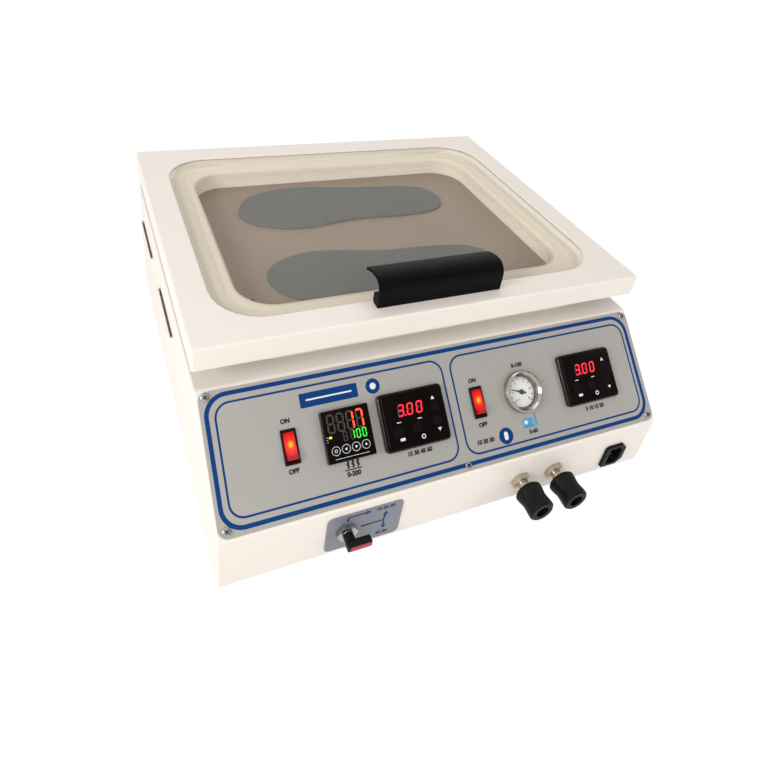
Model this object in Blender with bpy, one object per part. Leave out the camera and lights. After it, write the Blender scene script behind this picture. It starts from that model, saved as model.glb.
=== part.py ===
"""Insole heat press.

A folded sheet cabinet with a sloped control panel carries a heated platen in a raised collar. A hinged
lid with a large window closes over the collar. A silicone membrane is clamped round the window, and vacuum
draws it down the collar's wall, over the platen and over the two insole blanks that lie there.

Metres, +Z up, +Y towards the hinges, +X to the right of someone who faces the control panel.
Sizes and places are measured from the lid's front edge (Y), the middle of the press (X) and the cabinet's
bottom edge (Z), and the empty "press_frame" sets that point over the centre of the space that the press
takes, with the feet on Z = 0.
"""

import math

import bmesh
import bpy
from mathutils import Matrix, Vector

# Fits
CLEARANCE = 0.0003
CUT_OVERRUN = 0.002
SMOOTH_ANGLE = math.radians(32)
CORNER_STEPS = 7
SMALL_CORNER_STEPS = 3
ROUND_STEPS = 32
SMALL_ROUND_STEPS = 16

# Insole blanks, which set the size of the well, the lid and the cabinet
INSOLE_LENGTH = 0.279
INSOLE_WIDTH = 0.100
INSOLE_THICKNESS = 0.003
INSOLE_EDGE = 0.0008
INSOLE_GAP = 0.0497
INSOLE_STEPS = 44
PAIR_OFFSET = -0.0064
REAR_INSOLE_X = -0.007
FRONT_INSOLE_X = -0.009
FRONT_INSOLE_TURN = math.radians(-4.2)
# Outline from the tip of the toe round the outer side to the heel and back along the inner side:
# shares of the length along it, and shares of the width across it.
INSOLE_OUTLINE_SHARES = (
    (0.000, 0.00), (0.036, 0.26), (0.100, 0.41), (0.190, 0.51), (0.293, 0.55), (0.400, 0.53),
    (0.500, 0.48), (0.600, 0.44), (0.700, 0.41), (0.800, 0.385), (0.900, 0.34), (0.965, 0.24),
    (1.000, 0.00), (0.970, -0.23), (0.900, -0.345), (0.800, -0.385), (0.670, -0.385), (0.560, -0.37),
    (0.450, -0.385), (0.340, -0.435), (0.250, -0.455), (0.180, -0.435), (0.100, -0.36), (0.030, -0.22),
)

# Well, its collar and the lid's window round them
WELL_END_MARGIN = 0.053
WELL_FREE_DEPTH = 0.085
WELL_CORNER = 0.040
WELL_LIP = 0.009
COLLAR_RIM_SIDE = 0.0275
COLLAR_RIM_FRONT = 0.0245
COLLAR_RISE = 0.0368
COLLAR_SHEET = 0.0015
COLLAR_EDGE = 0.0015
COLLAR_FOOT = 0.008
WINDOW_CORNER = 0.050
WINDOW_EDGE = 0.0005
GASKET_WIDTH = 0.012
GASKET_HEIGHT = 0.0016
GASKET_INSET = 0.006

# Lid
LID_BORDER_SIDE = 0.030
LID_BORDER_FRONT = 0.0295
LID_BORDER_BACK = 0.0325
LID_HEIGHT = 0.0247
LID_GAP = 0.0223
LID_SHEET = 0.0015
LID_BEND = 0.0025

# Cabinet
LID_OVERHANG = 0.001
CABINET_SHEET = 0.0015
CABINET_BEND = 0.0025
BEND_STEPS = 3
FRONT_REACH = 0.0975
FRONT_HEIGHT = 0.0643
DECK_HEIGHT = 0.152
DECK_REACH = 0.001

# Pressed louvres in the side walls
LOUVRE_LENGTH = 0.100
LOUVRE_HEIGHT = 0.009
LOUVRE_DEPTH = 0.0035
LOUVRE_TAPER = 0.004
LOUVRE_WALL = 0.0012
LOUVRE_BOTTOM = 0.102
LOUVRE_CENTRE_SHARES = (0.427, 0.813)

# Base plate and feet
BASE_SHEET = 0.0015
BASE_FLANGE = 0.006
BASE_CORNER = 0.002
VENT_LENGTH = 0.060
VENT_WIDTH = 0.005
VENT_PITCH = 0.014
VENT_COUNT = 5
VENT_PLACE = (-0.110, 0.250)
FOOT_HEIGHT = 0.008
FOOT_TOP_RADIUS = 0.011
FOOT_BOTTOM_RADIUS = 0.0095
FOOT_EDGE = 0.001
FOOT_SCREW_RADIUS = 0.004
FOOT_SCREW_DEPTH = 0.004
FOOT_INSET = 0.030

# Platen and what lies under it
PLATEN_TOP_DROP = 0.0218
PLATEN_THICKNESS = 0.008
PLATEN_PLAY = 0.0007
RELEASE_SHEET = 0.0008
HEATER_THICKNESS = 0.002
HEATER_MARGIN = 0.005
BOARD_THICKNESS = 0.020
TRAY_SHEET = 0.0015
TRAY_FLANGE_INSET = 0.001
TRAY_WALL_INSET = 0.002
PORT_SIDE_INSET = 0.0205
PORT_FRONT_INSET = 0.041
PORT_BORE = 0.002
PORT_RADIUS = 0.005
PORT_LENGTH = 0.044
PORT_CLEARANCE_RADIUS = 0.007

# Silicone membrane and its clamp
MEMBRANE_THICKNESS = 0.0015
MEMBRANE_STEP_OUT = 0.0040
MEMBRANE_STEP_IN = 0.0025
MEMBRANE_SHOULDER = 0.004
MEMBRANE_FOOT_RADIUS = 0.002
MEMBRANE_EDGE_PLAY = 0.001
MEMBRANE_CORNER = 0.004
POCKET_FOOT = 0.0030
POCKET_SIDE = 0.0018
POCKET_TOP = 0.0006
POCKET_SIDE_RISE_SHARE = 0.7
CLAMP_THICKNESS = 0.003
CLAMP_CLEAR = 0.0045

# Handle on the lid's front border, in section from front to back
HANDLE_LENGTH = 0.141
HANDLE_FRONT = 0.0153
HANDLE_BEND_HEIGHT = 0.017
HANDLE_BEND_RADIUS = 0.0137
HANDLE_WALL = 0.0032
HANDLE_BACK_RADIUS = 0.046
HANDLE_BACK_SWEEP = math.radians(29)
HANDLE_FOOT_DEPTH = 0.0125
HANDLE_FOOT_HEIGHT = 0.0118
HANDLE_FOOT_SHOULDER = 0.0155
HANDLE_FOOT_CHAMFER = 0.0025
HANDLE_BEND_STEPS = 6
HANDLE_BACK_STEPS = 5

# Hinges
HINGE_PLACE_SHARE = 0.683
HINGE_WIDTH = 0.060
HINGE_LEAF = 0.002
HINGE_LEAF_REACH = 0.026
HINGE_KNUCKLE_RADIUS = 0.0045
HINGE_PIN_RADIUS = 0.0025
HINGE_PIN_HEAD_RADIUS = 0.0038
HINGE_PIN_HEAD = 0.0012
HINGE_MIDDLE_SHARE = 0.4

# Control plate and the instruments' places along it, as shares of half its width from its middle
PLATE_SIDE_MARGIN = 0.0025
PLATE_END_MARGIN = 0.0022
PLATE_THICKNESS = 0.0012
PLATE_CORNER = 0.009
CONTROLLER_PLACE_SHARE = -0.47627
HEAT_TIMER_PLACE_SHARE = -0.19391
VACUUM_TIMER_PLACE_SHARE = 0.68438
HEAT_SWITCH_PLACE_SHARE = -0.70020
VACUUM_SWITCH_PLACE_SHARE = 0.10953
GAUGE_PLACE_SHARE = 0.33266

# Temperature controller
CONTROLLER_SIDE = 0.048
CONTROLLER_RISE = 0.0055
CONTROLLER_CORNER = 0.001
CONTROLLER_EDGE = 0.0008
CONTROLLER_NECK = 0.0446
CONTROLLER_DEPTH = 0.060
CONTROLLER_KEY_RADIUS = 0.0028
CONTROLLER_KEY_PITCH = 0.010
CONTROLLER_KEY_V = -0.013
CONTROLLER_KEY_COUNT = 4

# Timers
TIMER_WIDTH = 0.071
TIMER_HEIGHT = 0.0555
TIMER_RISE = 0.005
TIMER_CORNER = 0.0045
TIMER_EDGE = 0.0015
TIMER_NECK_WIDTH = 0.064
TIMER_NECK_HEIGHT = 0.046
TIMER_DEPTH = 0.045
TIMER_KEY_SIDE = 0.0085
TIMER_KEY_CORNER = 0.001
TIMER_KEY_STEPS = 2
TIMER_KEYS = {
    "up": (0.0240, 0.0062),
    "down": (0.0235, -0.0068),
    "set": (-0.0195, -0.0100),
    "start": (0.0010, -0.0095),
}

# Keys of the controller and the timers
KEY_PLAY = 0.0003
KEY_PROUD = 0.0003
KEY_THICKNESS = 0.0016
KEY_TRAVEL = 0.0005
KEY_EDGE = 0.0003

# Rocker switches
SWITCH_WIDTH = 0.0148
SWITCH_HEIGHT = 0.0320
SWITCH_RISE = 0.0020
SWITCH_CORNER = 0.0012
SWITCH_EDGE = 0.0007
SWITCH_NECK_WIDTH = 0.0132
SWITCH_NECK_HEIGHT = 0.0296
SWITCH_DEPTH = 0.018
SWITCH_MOUTH_WIDTH = 0.0108
SWITCH_MOUTH_HEIGHT = 0.0272
SWITCH_MOUTH_DEPTH = 0.0105
ROCKER_WIDTH = 0.0100
ROCKER_HALF_LENGTH = 0.0125
ROCKER_PIVOT_DEPTH = 0.0035
ROCKER_END_RISE = 0.0026
ROCKER_WAIST_RISE = 0.0010
ROCKER_BELLY = 0.0045
ROCKER_BELLY_SHARE = 0.6
ROCKER_TILT = math.radians(8)

# Vacuum gauge, by radius and by height over the plate
GAUGE_RADIUS = 0.0225
GAUGE_SIDE_HEIGHT = 0.0035
GAUGE_CROWN_RADIUS = 0.0201
GAUGE_CROWN_HEIGHT = 0.0072
GAUGE_SHOULDER_RADIUS = 0.0217
GAUGE_SHOULDER_HEIGHT = 0.0060
GAUGE_THROAT_RADIUS = 0.0178
GAUGE_THROAT_HEIGHT = 0.0048
GAUGE_NECK_RADIUS = 0.019
GAUGE_DEPTH = 0.028
GAUGE_TAIL_RADIUS = 0.0065
GAUGE_TAIL_LENGTH = 0.016
LENS_RADIUS = 0.0172
LENS_THICKNESS = 0.0012
LENS_SEAT_HEIGHT = 0.0018
DIAL_RADIUS = 0.0166
DIAL_THICKNESS = 0.0006
DIAL_FLOOR = 0.0018
DIAL_HOLE_RADIUS = 0.0014
NEEDLE_THICKNESS = 0.0006
NEEDLE_LENGTH = 0.0135
NEEDLE_TAIL = 0.0055
NEEDLE_ROOT_WIDTH = 0.0018
NEEDLE_TIP_WIDTH = 0.0005
NEEDLE_TAIL_WIDTH = 0.0022
NEEDLE_HUB_RADIUS = 0.0028
NEEDLE_HUB_HEIGHT = 0.0012
NEEDLE_SPINDLE_RADIUS = 0.0010
NEEDLE_REST = math.radians(160)

# Selector valve on the front band
VALVE_PLATE_WIDTH = 0.078
VALVE_PLATE_HEIGHT = 0.0505
VALVE_PLATE_THICKNESS = 0.0008
VALVE_PLATE_CORNER = 0.006
VALVE_PLATE_PLACE_SHARE = -0.43775
VALVE_PLATE_Z = 0.0293
VALVE_PLATE_OFFSET = 0.019
VALVE_Z = 0.0315
VALVE_NUT_ACROSS = 0.019
VALVE_NUT_HEIGHT = 0.005
VALVE_NECK_RADIUS = 0.006
VALVE_STEM_RADIUS = 0.003
VALVE_STEM_TOP = 0.0115
VALVE_BODY_RADIUS = 0.009
VALVE_BODY_DEPTH = 0.030
BARB_RADIUS = 0.0033
BARB_LENGTH = 0.012
VALVE_SIDE_BARB_DEPTH = 0.020
LEVER_HUB_RADIUS = 0.0052
LEVER_HUB_BOTTOM = 0.0072
LEVER_BAR_BOTTOM = 0.0135
LEVER_BAR_TOP = 0.0215
LEVER_BAR_BACK = 0.0055
LEVER_BAR_REACH = 0.0190
LEVER_BAR_HEIGHT = 0.0072
LEVER_EDGE = 0.0010

# Quick couplers on the front band
COUPLER_PITCH = 0.0435
COUPLER_INLET_SPACING = 0.0865
COUPLER_Z = 0.0270
COUPLER_NUT_ACROSS = 0.0205
COUPLER_NUT_HEIGHT = 0.006
COUPLER_THREAD_RADIUS = 0.0065
COUPLER_THREAD_DEPTH = 0.018
COUPLER_NECK_RADIUS = 0.0062
COUPLER_TUBE_START = 0.0140
COUPLER_TUBE_RADIUS = 0.0085
COUPLER_TUBE_END = 0.0368
COUPLER_BORE_RADIUS = 0.0050
COUPLER_BORE_DEPTH = 0.0200
SLEEVE_START = 0.0138
SLEEVE_END = 0.0425
SLEEVE_RIM_RADIUS = 0.0140
SLEEVE_REAR_RADIUS = 0.0148
SLEEVE_WAIST_RADIUS = 0.0133
SLEEVE_EDGE = 0.0018
SLEEVE_RIM_SHARE = 0.16
SLEEVE_PLAY = 0.0004
SLEEVE_MOUTH_RADIUS = 0.0072
SLEEVE_MOUTH_LIP = 0.0012
SLEEVE_STEPS = 24

# Power inlet on the front band
INLET_SIDE_MARGIN = 0.0460
INLET_Z = 0.0232
INLET_WIDTH = 0.0310
INLET_HEIGHT = 0.0335
INLET_RISE = 0.0030
INLET_EDGE = 0.0010
INLET_SMALL_CHAMFER = 0.0030
INLET_LARGE_CHAMFER = 0.0080
INLET_NECK_WIDTH = 0.026
INLET_NECK_HEIGHT = 0.029
INLET_DEPTH = 0.026
SOCKET_WIDTH = 0.0170
SOCKET_HEIGHT = 0.0246
SOCKET_CHAMFER = 0.0045
SOCKET_DEPTH = 0.017
BLADE_WIDTH = 0.0040
BLADE_THICKNESS = 0.0020
BLADE_LENGTH = 0.0140
BLADE_PITCH = 0.0070
BLADE_OFFSET = 0.0020

# Vacuum pump on the base plate
PUMP_PLACE = (0.090, 0.170)
PUMP_BRACKET_LENGTH = 0.110
PUMP_BRACKET_WIDTH = 0.050
PUMP_BRACKET_THICKNESS = 0.003
PUMP_AXIS_HEIGHT = 0.034
PUMP_MOTOR_RADIUS = 0.021
PUMP_MOTOR_LENGTH = 0.058
PUMP_HEAD_LENGTH = 0.042
PUMP_HEAD_WIDTH = 0.046
PUMP_HEAD_HEIGHT = 0.054
PUMP_CRADLE_LENGTH = 0.030
PUMP_CRADLE_WIDTH = 0.030

# Hoses inside the cabinet
HOSE_RADIUS = 0.004
HOSE_STEPS = 7
HOSE_BEVEL_STEPS = 2
HOSE_HANDLE_SHARE = 0.36
PUMP_HOSE_ROUTE = ((-0.050, -0.040, 0.0290), (-0.010, 0.060, 0.0270))
WELL_HOSE_ROUTE = ((-0.155, 0.045, 0.0560),)

# Sizes that follow from those above
WELL_WIDTH = INSOLE_LENGTH + 2 * WELL_END_MARGIN
WELL_DEPTH = 2 * INSOLE_WIDTH + WELL_FREE_DEPTH
WINDOW_WIDTH = WELL_WIDTH + 2 * COLLAR_RIM_SIDE
WINDOW_DEPTH = WELL_DEPTH + 2 * COLLAR_RIM_FRONT
LID_WIDTH = WINDOW_WIDTH + 2 * LID_BORDER_SIDE
LID_DEPTH = LID_BORDER_FRONT + WINDOW_DEPTH + LID_BORDER_BACK
WELL_Y = LID_BORDER_FRONT + WINDOW_DEPTH / 2
LID_SHIFT = LID_DEPTH / 2 - WELL_Y
CABINET_WIDTH = LID_WIDTH - 2 * LID_OVERHANG
CABINET_BACK = LID_DEPTH
INSOLE_SPACING = INSOLE_WIDTH + INSOLE_GAP
PORT_PLACE = (PORT_SIDE_INSET - WELL_WIDTH / 2, WELL_Y - WELL_DEPTH / 2 + PORT_FRONT_INSET)
HINGE_X = CABINET_WIDTH / 2 * HINGE_PLACE_SHARE
INLET_X = CABINET_WIDTH / 2 - INLET_SIDE_MARGIN
COUPLER_X = (INLET_X - COUPLER_INLET_SPACING - COUPLER_PITCH, INLET_X - COUPLER_INLET_SPACING)
VALVE_PLATE_X = CABINET_WIDTH / 2 * VALVE_PLATE_PLACE_SHARE
VALVE_X = VALVE_PLATE_X - VALVE_PLATE_OFFSET
DECK_TOP = DECK_HEIGHT
LID_BOTTOM = DECK_TOP + LID_GAP
LID_TOP = LID_BOTTOM + LID_HEIGHT
LID_UNDERSIDE = LID_TOP - LID_SHEET
COLLAR_BOTTOM = DECK_TOP + CLEARANCE
COLLAR_TOP = DECK_TOP + COLLAR_RISE
PLATEN_TOP = COLLAR_TOP - PLATEN_TOP_DROP
PLATEN_BOTTOM = PLATEN_TOP - PLATEN_THICKNESS
LIP_TOP = PLATEN_BOTTOM - CLEARANCE
LIP_BOTTOM = LIP_TOP - COLLAR_SHEET
RELEASE_TOP = PLATEN_TOP + CLEARANCE + RELEASE_SHEET
WORK_BOTTOM = RELEASE_TOP + CLEARANCE
INSOLE_TOP = WORK_BOTTOM + INSOLE_THICKNESS
GASKET_TOP = COLLAR_TOP + CLEARANCE + GASKET_HEIGHT
MEMBRANE_CLAMPED_TOP = LID_UNDERSIDE - CLEARANCE
MEMBRANE_LEDGE_TOP = GASKET_TOP + CLEARANCE + MEMBRANE_THICKNESS
MEMBRANE_FLOOR_TOP = WORK_BOTTOM + MEMBRANE_THICKNESS
MEMBRANE_POCKET_TOP = INSOLE_TOP + CLEARANCE + MEMBRANE_THICKNESS
HINGE_AXIS_Y = CABINET_BACK + CLEARANCE + HINGE_KNUCKLE_RADIUS
HINGE_AXIS_Z = DECK_TOP + LID_GAP / 2
SLOPE_RUN = FRONT_REACH - DECK_REACH
SLOPE_RISE = DECK_HEIGHT - FRONT_HEIGHT
SLOPE_ANGLE = math.atan2(SLOPE_RISE, SLOPE_RUN)
PLATE_WIDTH = CABINET_WIDTH - 2 * PLATE_SIDE_MARGIN
CONTROLLER_U = PLATE_WIDTH / 2 * CONTROLLER_PLACE_SHARE
HEAT_TIMER_U = PLATE_WIDTH / 2 * HEAT_TIMER_PLACE_SHARE
VACUUM_TIMER_U = PLATE_WIDTH / 2 * VACUUM_TIMER_PLACE_SHARE
HEAT_SWITCH_U = PLATE_WIDTH / 2 * HEAT_SWITCH_PLACE_SHARE
VACUUM_SWITCH_U = PLATE_WIDTH / 2 * VACUUM_SWITCH_PLACE_SHARE
GAUGE_U = PLATE_WIDTH / 2 * GAUGE_PLACE_SHARE
PLATE_HEIGHT = math.hypot(SLOPE_RUN, SLOPE_RISE) - 2 * PLATE_END_MARGIN
PLATE_TOP = CLEARANCE + PLATE_THICKNESS
PRESS_FRONT = -FRONT_REACH - SLEEVE_END
PRESS_BACK = HINGE_AXIS_Y + HINGE_KNUCKLE_RADIUS


# Building blocks


def add_frame(name, parent=None, location=(0, 0, 0), tilt=0.0):
    """Adds an empty that other pieces are placed in, tilted about its X axis."""
    frame = bpy.data.objects.new(name, None)
    bpy.context.scene.collection.objects.link(frame)
    frame.parent = parent
    frame.location = location
    frame.rotation_euler.x = tilt
    return frame


def add_object(name, mesh_builder, frame, location=(0, 0, 0), turn=0.0):
    """Turns a finished bmesh into an object in a frame, with all faces pointing out."""
    bmesh.ops.recalc_face_normals(mesh_builder, faces=mesh_builder.faces)
    mesh = bpy.data.meshes.new(name)
    mesh_builder.to_mesh(mesh)
    mesh_builder.free()
    piece = bpy.data.objects.new(name, mesh)
    bpy.context.scene.collection.objects.link(piece)
    piece.parent = frame
    piece.location = location
    piece.rotation_euler.z = turn
    return piece


def combine(piece, tool, operation):
    """Joins a tool to a piece or cuts it away, and removes the tool."""
    modifier = piece.modifiers.new(tool.name, "BOOLEAN")
    modifier.operation = operation
    modifier.solver = "EXACT"
    modifier.object = tool
    bpy.context.view_layer.update()
    evaluated = piece.evaluated_get(bpy.context.evaluated_depsgraph_get())
    shape = bpy.data.meshes.new_from_object(evaluated)
    piece.modifiers.clear()
    piece.data = shape
    bpy.data.objects.remove(tool)
    return piece


def cut(piece, *tools):
    """Cuts tools out of a piece."""
    for tool in tools:
        combine(piece, tool, "DIFFERENCE")
    return piece


def join(piece, *tools):
    """Welds tools onto a piece."""
    for tool in tools:
        combine(piece, tool, "UNION")
    return piece


def dress(piece, finish):
    """Gives a piece its material and shades its round faces smooth."""
    piece.data.materials.clear()
    piece.data.materials.append(finish)
    piece.data.shade_smooth()
    piece.data.set_sharp_from_angle(angle=SMOOTH_ANGLE)
    return piece


def make_finish(name, red, green, blue, roughness, metallic=0.0, alpha=1.0):
    """Makes a Principled material from a linear colour."""
    finish = bpy.data.materials.new(name)
    finish.use_nodes = True
    shader = finish.node_tree.nodes["Principled BSDF"]
    shader.inputs["Base Color"].default_value = (red, green, blue, 1.0)
    shader.inputs["Roughness"].default_value = roughness
    shader.inputs["Metallic"].default_value = metallic
    shader.inputs["Alpha"].default_value = alpha
    return finish


def arc(centre, radius, start, end, steps):
    """Points on an arc in a plane, both ends included."""
    angles = [start + (end - start) * step / steps for step in range(steps + 1)]
    return [(centre[0] + radius * math.cos(a), centre[1] + radius * math.sin(a)) for a in angles]


def rounded_rectangle(half_x, half_y, radius, steps=CORNER_STEPS):
    """Outline of a rectangle with round corners, anticlockwise from the right side."""
    outline = []
    for quarter, (side_x, side_y) in enumerate(((1, 1), (-1, 1), (-1, -1), (1, -1))):
        centre = (side_x * (half_x - radius), side_y * (half_y - radius))
        start = quarter * math.pi / 2
        outline += arc(centre, radius, start, start + math.pi / 2, steps)
    return outline


def circle(radius, steps):
    """Outline of a circle."""
    return [
        (radius * math.cos(2 * math.pi * step / steps), radius * math.sin(2 * math.pi * step / steps))
        for step in range(steps)
    ]


def loft(loops, ring=False):
    """Skins a row of outlines with equally many points, capped at the ends or closed into a ring.

    Each loop is a pair: an outline in the plane, and its height.
    """
    shape = bmesh.new()
    rows = [[shape.verts.new((x, y, height)) for x, y in outline] for outline, height in loops]
    count = len(rows[0])
    spans = list(zip(rows, rows[1:]))
    if ring:
        spans.append((rows[-1], rows[0]))
    for lower, upper in spans:
        for index in range(count):
            following = (index + 1) % count
            shape.faces.new((lower[index], lower[following], upper[following], upper[index]))
    if not ring:
        shape.faces.new(reversed(rows[0]))
        shape.faces.new(rows[-1])
    return shape


def prism(outline, low, high):
    """An outline extruded between two heights."""
    return loft([(outline, low), (outline, high)])


def turned(profile, steps):
    """A solid of revolution about Z; the profile's ends lie on the axis."""
    shape = bmesh.new()
    bottom = shape.verts.new((0, 0, profile[0][1]))
    top = shape.verts.new((0, 0, profile[-1][1]))
    rows = [[shape.verts.new((x, y, height)) for x, y in circle(radius, steps)]
            for radius, height in profile[1:-1]]
    for lower, upper in zip(rows, rows[1:]):
        for index in range(steps):
            following = (index + 1) % steps
            shape.faces.new((lower[index], lower[following], upper[following], upper[index]))
    for index in range(steps):
        following = (index + 1) % steps
        shape.faces.new((bottom, rows[0][following], rows[0][index]))
        shape.faces.new((top, rows[-1][index], rows[-1][following]))
    return shape


def turned_ring(profile, steps):
    """A ring of revolution about Z from a closed profile that stays off the axis."""
    return loft([(circle(radius, steps), height) for radius, height in profile], ring=True)


def block(low, high):
    """A box between two corners."""
    outline = [(low[0], low[1]), (high[0], low[1]), (high[0], high[1]), (low[0], high[1])]
    return prism(outline, low[2], high[2])


def across(shape):
    """Lays a solid down so that its +Z points along +X."""
    bmesh.ops.transform(shape, matrix=Matrix.Rotation(math.pi / 2, 4, "Y"), verts=shape.verts)
    return shape


def hexagon(width_across_flats):
    """Outline of a hexagon."""
    return circle(width_across_flats / math.sqrt(3), 6)


def chamfered(half_x, half_y, chamfers):
    """Outline of a rectangle whose corners are cut: right top, left top, left bottom, right bottom."""
    right_top, left_top, left_bottom, right_bottom = chamfers
    return [
        (half_x, half_y - right_top), (half_x - right_top, half_y),
        (-half_x + left_top, half_y), (-half_x, half_y - left_top),
        (-half_x, -half_y + left_bottom), (-half_x + left_bottom, -half_y),
        (half_x - right_bottom, -half_y), (half_x, -half_y + right_bottom),
    ]


def moved(outline, centre):
    """An outline shifted in its plane."""
    return [(x + centre[0], y + centre[1]) for x, y in outline]


def grown(outline, distance):
    """An outline with each point moved outwards along the curve's normal."""
    count = len(outline)
    points = []
    for index, (x, y) in enumerate(outline):
        before = outline[index - 1]
        after = outline[(index + 1) % count]
        tangent = Vector((after[0] - before[0], after[1] - before[1])).normalized()
        points.append((x + tangent.y * distance, y - tangent.x * distance))
    return points


def merged(shapes):
    """Several solids that don't touch, as one shape."""
    whole = bmesh.new()
    for shape in shapes:
        part = bpy.data.meshes.new("part")
        shape.to_mesh(part)
        shape.free()
        whole.from_mesh(part)
        bpy.data.meshes.remove(part)
    return whole


def spline_point(points, position, closed):
    """A point on the smooth curve through a row of points."""
    count = len(points)
    first = int(math.floor(position))
    share = position - first

    def pick(index):
        return Vector(points[index % count] if closed else points[min(max(index, 0), count - 1)])

    p0, p1, p2, p3 = (pick(first + offset) for offset in (-1, 0, 1, 2))
    return 0.5 * (
        2 * p1 + (p2 - p0) * share
        + (2 * p0 - 5 * p1 + 4 * p2 - p3) * share ** 2
        + (3 * p1 - p0 - 3 * p2 + p3) * share ** 3
    )


# Outlines that several pieces share


def window_ring(outward, height):
    """A ring round the window, at a distance outside its edge."""
    half_x, half_y = WINDOW_WIDTH / 2 + outward, WINDOW_DEPTH / 2 + outward
    return rounded_rectangle(half_x, half_y, WINDOW_CORNER + outward), height


def well_ring(outward, height):
    """A ring round the well, at a distance outside its wall."""
    half_x, half_y = WELL_WIDTH / 2 + outward, WELL_DEPTH / 2 + outward
    return rounded_rectangle(half_x, half_y, WELL_CORNER + outward), height


def lid_ring(inward, height):
    """A ring at a distance inside the lid's outer faces."""
    corner = max(LID_BEND - inward, LID_BEND / CORNER_STEPS)
    outline = rounded_rectangle(LID_WIDTH / 2 - inward, LID_DEPTH / 2 - inward, corner)
    return moved(outline, (0, LID_SHIFT)), height


def clamp_ring(height):
    """A ring just inside the lid's walls, where the membrane is clamped."""
    inset = LID_SHEET + MEMBRANE_EDGE_PLAY
    outline = rounded_rectangle(LID_WIDTH / 2 - inset, LID_DEPTH / 2 - inset, MEMBRANE_CORNER)
    return moved(outline, (0, LID_SHIFT)), height


def insole_outline(centre, turn, mirrored):
    """The outline of one insole blank where it lies on the platen."""
    side = -1 if mirrored else 1
    count = len(INSOLE_OUTLINE_SHARES)
    cosine, sine = math.cos(turn), math.sin(turn)
    outline = []
    for step in range(INSOLE_STEPS):
        share = spline_point(INSOLE_OUTLINE_SHARES, count * step / INSOLE_STEPS, closed=True)
        along = (share[0] - 0.5) * INSOLE_LENGTH
        over = share[1] * INSOLE_WIDTH * side
        outline.append((centre[0] + along * cosine - over * sine, centre[1] + along * sine + over * cosine))
    if not mirrored:
        outline.reverse()
    return outline


PAIR_Y = WELL_Y + PAIR_OFFSET
REAR_INSOLE = insole_outline((REAR_INSOLE_X, PAIR_Y + INSOLE_SPACING / 2), 0, mirrored=False)
FRONT_PLACE = (FRONT_INSOLE_X, PAIR_Y - INSOLE_SPACING / 2)
FRONT_INSOLE = insole_outline(FRONT_PLACE, FRONT_INSOLE_TURN, mirrored=True)


# Cabinet


def cabinet_profile(inset):
    """The cabinet's outline from the side, as (Y, Z), at a distance inside its faces."""
    half_front = (math.pi / 2 - SLOPE_ANGLE) / 2
    half_deck = SLOPE_ANGLE / 2
    front = -FRONT_REACH + inset
    return [
        (front, 0), (front, FRONT_HEIGHT - inset * math.tan(half_front)),
        (-DECK_REACH + inset * math.tan(half_deck), DECK_HEIGHT - inset),
        (CABINET_BACK - inset, DECK_HEIGHT - inset), (CABINET_BACK - inset, 0),
    ]


def cabinet_block(half_width, inset, bottom):
    """The cabinet's outer or inner form as a solid, open work at its bottom edge."""
    shape = bmesh.new()
    profile = [(y, z if z else bottom) for y, z in cabinet_profile(inset)]
    rows = [[shape.verts.new((side * half_width, y, z)) for y, z in profile] for side in (-1, 1)]
    count = len(profile)
    for index in range(count):
        following = (index + 1) % count
        shape.faces.new((rows[0][index], rows[0][following], rows[1][following], rows[1][index]))
    shape.faces.new(reversed(rows[0]))
    shape.faces.new(rows[1])
    return shape


def bend_edges(shape, bottom):
    """Rounds every folded edge of the cabinet, apart from those round its open bottom."""
    folded = [edge for edge in shape.edges if max(vert.co.z for vert in edge.verts) > bottom]
    bmesh.ops.bevel(shape, geom=folded, offset=CABINET_BEND, segments=BEND_STEPS, profile=0.5,
                    affect="EDGES", clamp_overlap=True)
    return shape


def wedge(points):
    """The convex solid over a set of points."""
    shape = bmesh.new()
    for point in points:
        shape.verts.new(point)
    bmesh.ops.convex_hull(shape, input=shape.verts)
    return shape


def louvre_shapes(frame, side, centre):
    """A louvre's pressed hood and the pocket behind it, open upwards."""
    wall = CABINET_WIDTH / 2
    low, high = LOUVRE_BOTTOM, LOUVRE_BOTTOM + LOUVRE_HEIGHT
    ends = (centre - LOUVRE_LENGTH / 2, centre + LOUVRE_LENGTH / 2)
    lips = (ends[0] + LOUVRE_TAPER, ends[1] - LOUVRE_TAPER)
    root = wall - CABINET_SHEET / 2
    hood = [(side * x, y, z) for x in (root, wall) for y in ends for z in (low, high)]
    hood += [(side * (wall + LOUVRE_DEPTH), y, high) for y in lips]
    inside = wall - CABINET_SHEET - CUT_OVERRUN
    floor = low + LOUVRE_WALL
    slot_ends = (lips[0] + LOUVRE_WALL, lips[1] - LOUVRE_WALL)
    mouth = wall + LOUVRE_DEPTH - LOUVRE_WALL
    ceiling = high + LOUVRE_WALL
    pocket = [(side * x, y, z) for x in (inside, wall) for y in slot_ends for z in (floor, ceiling)]
    pocket += [(side * mouth, y, z) for y in slot_ends for z in (high, ceiling)]
    return (add_object("louvre_hood", wedge(hood), frame),
            add_object("louvre_pocket", wedge(pocket), frame))


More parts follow.
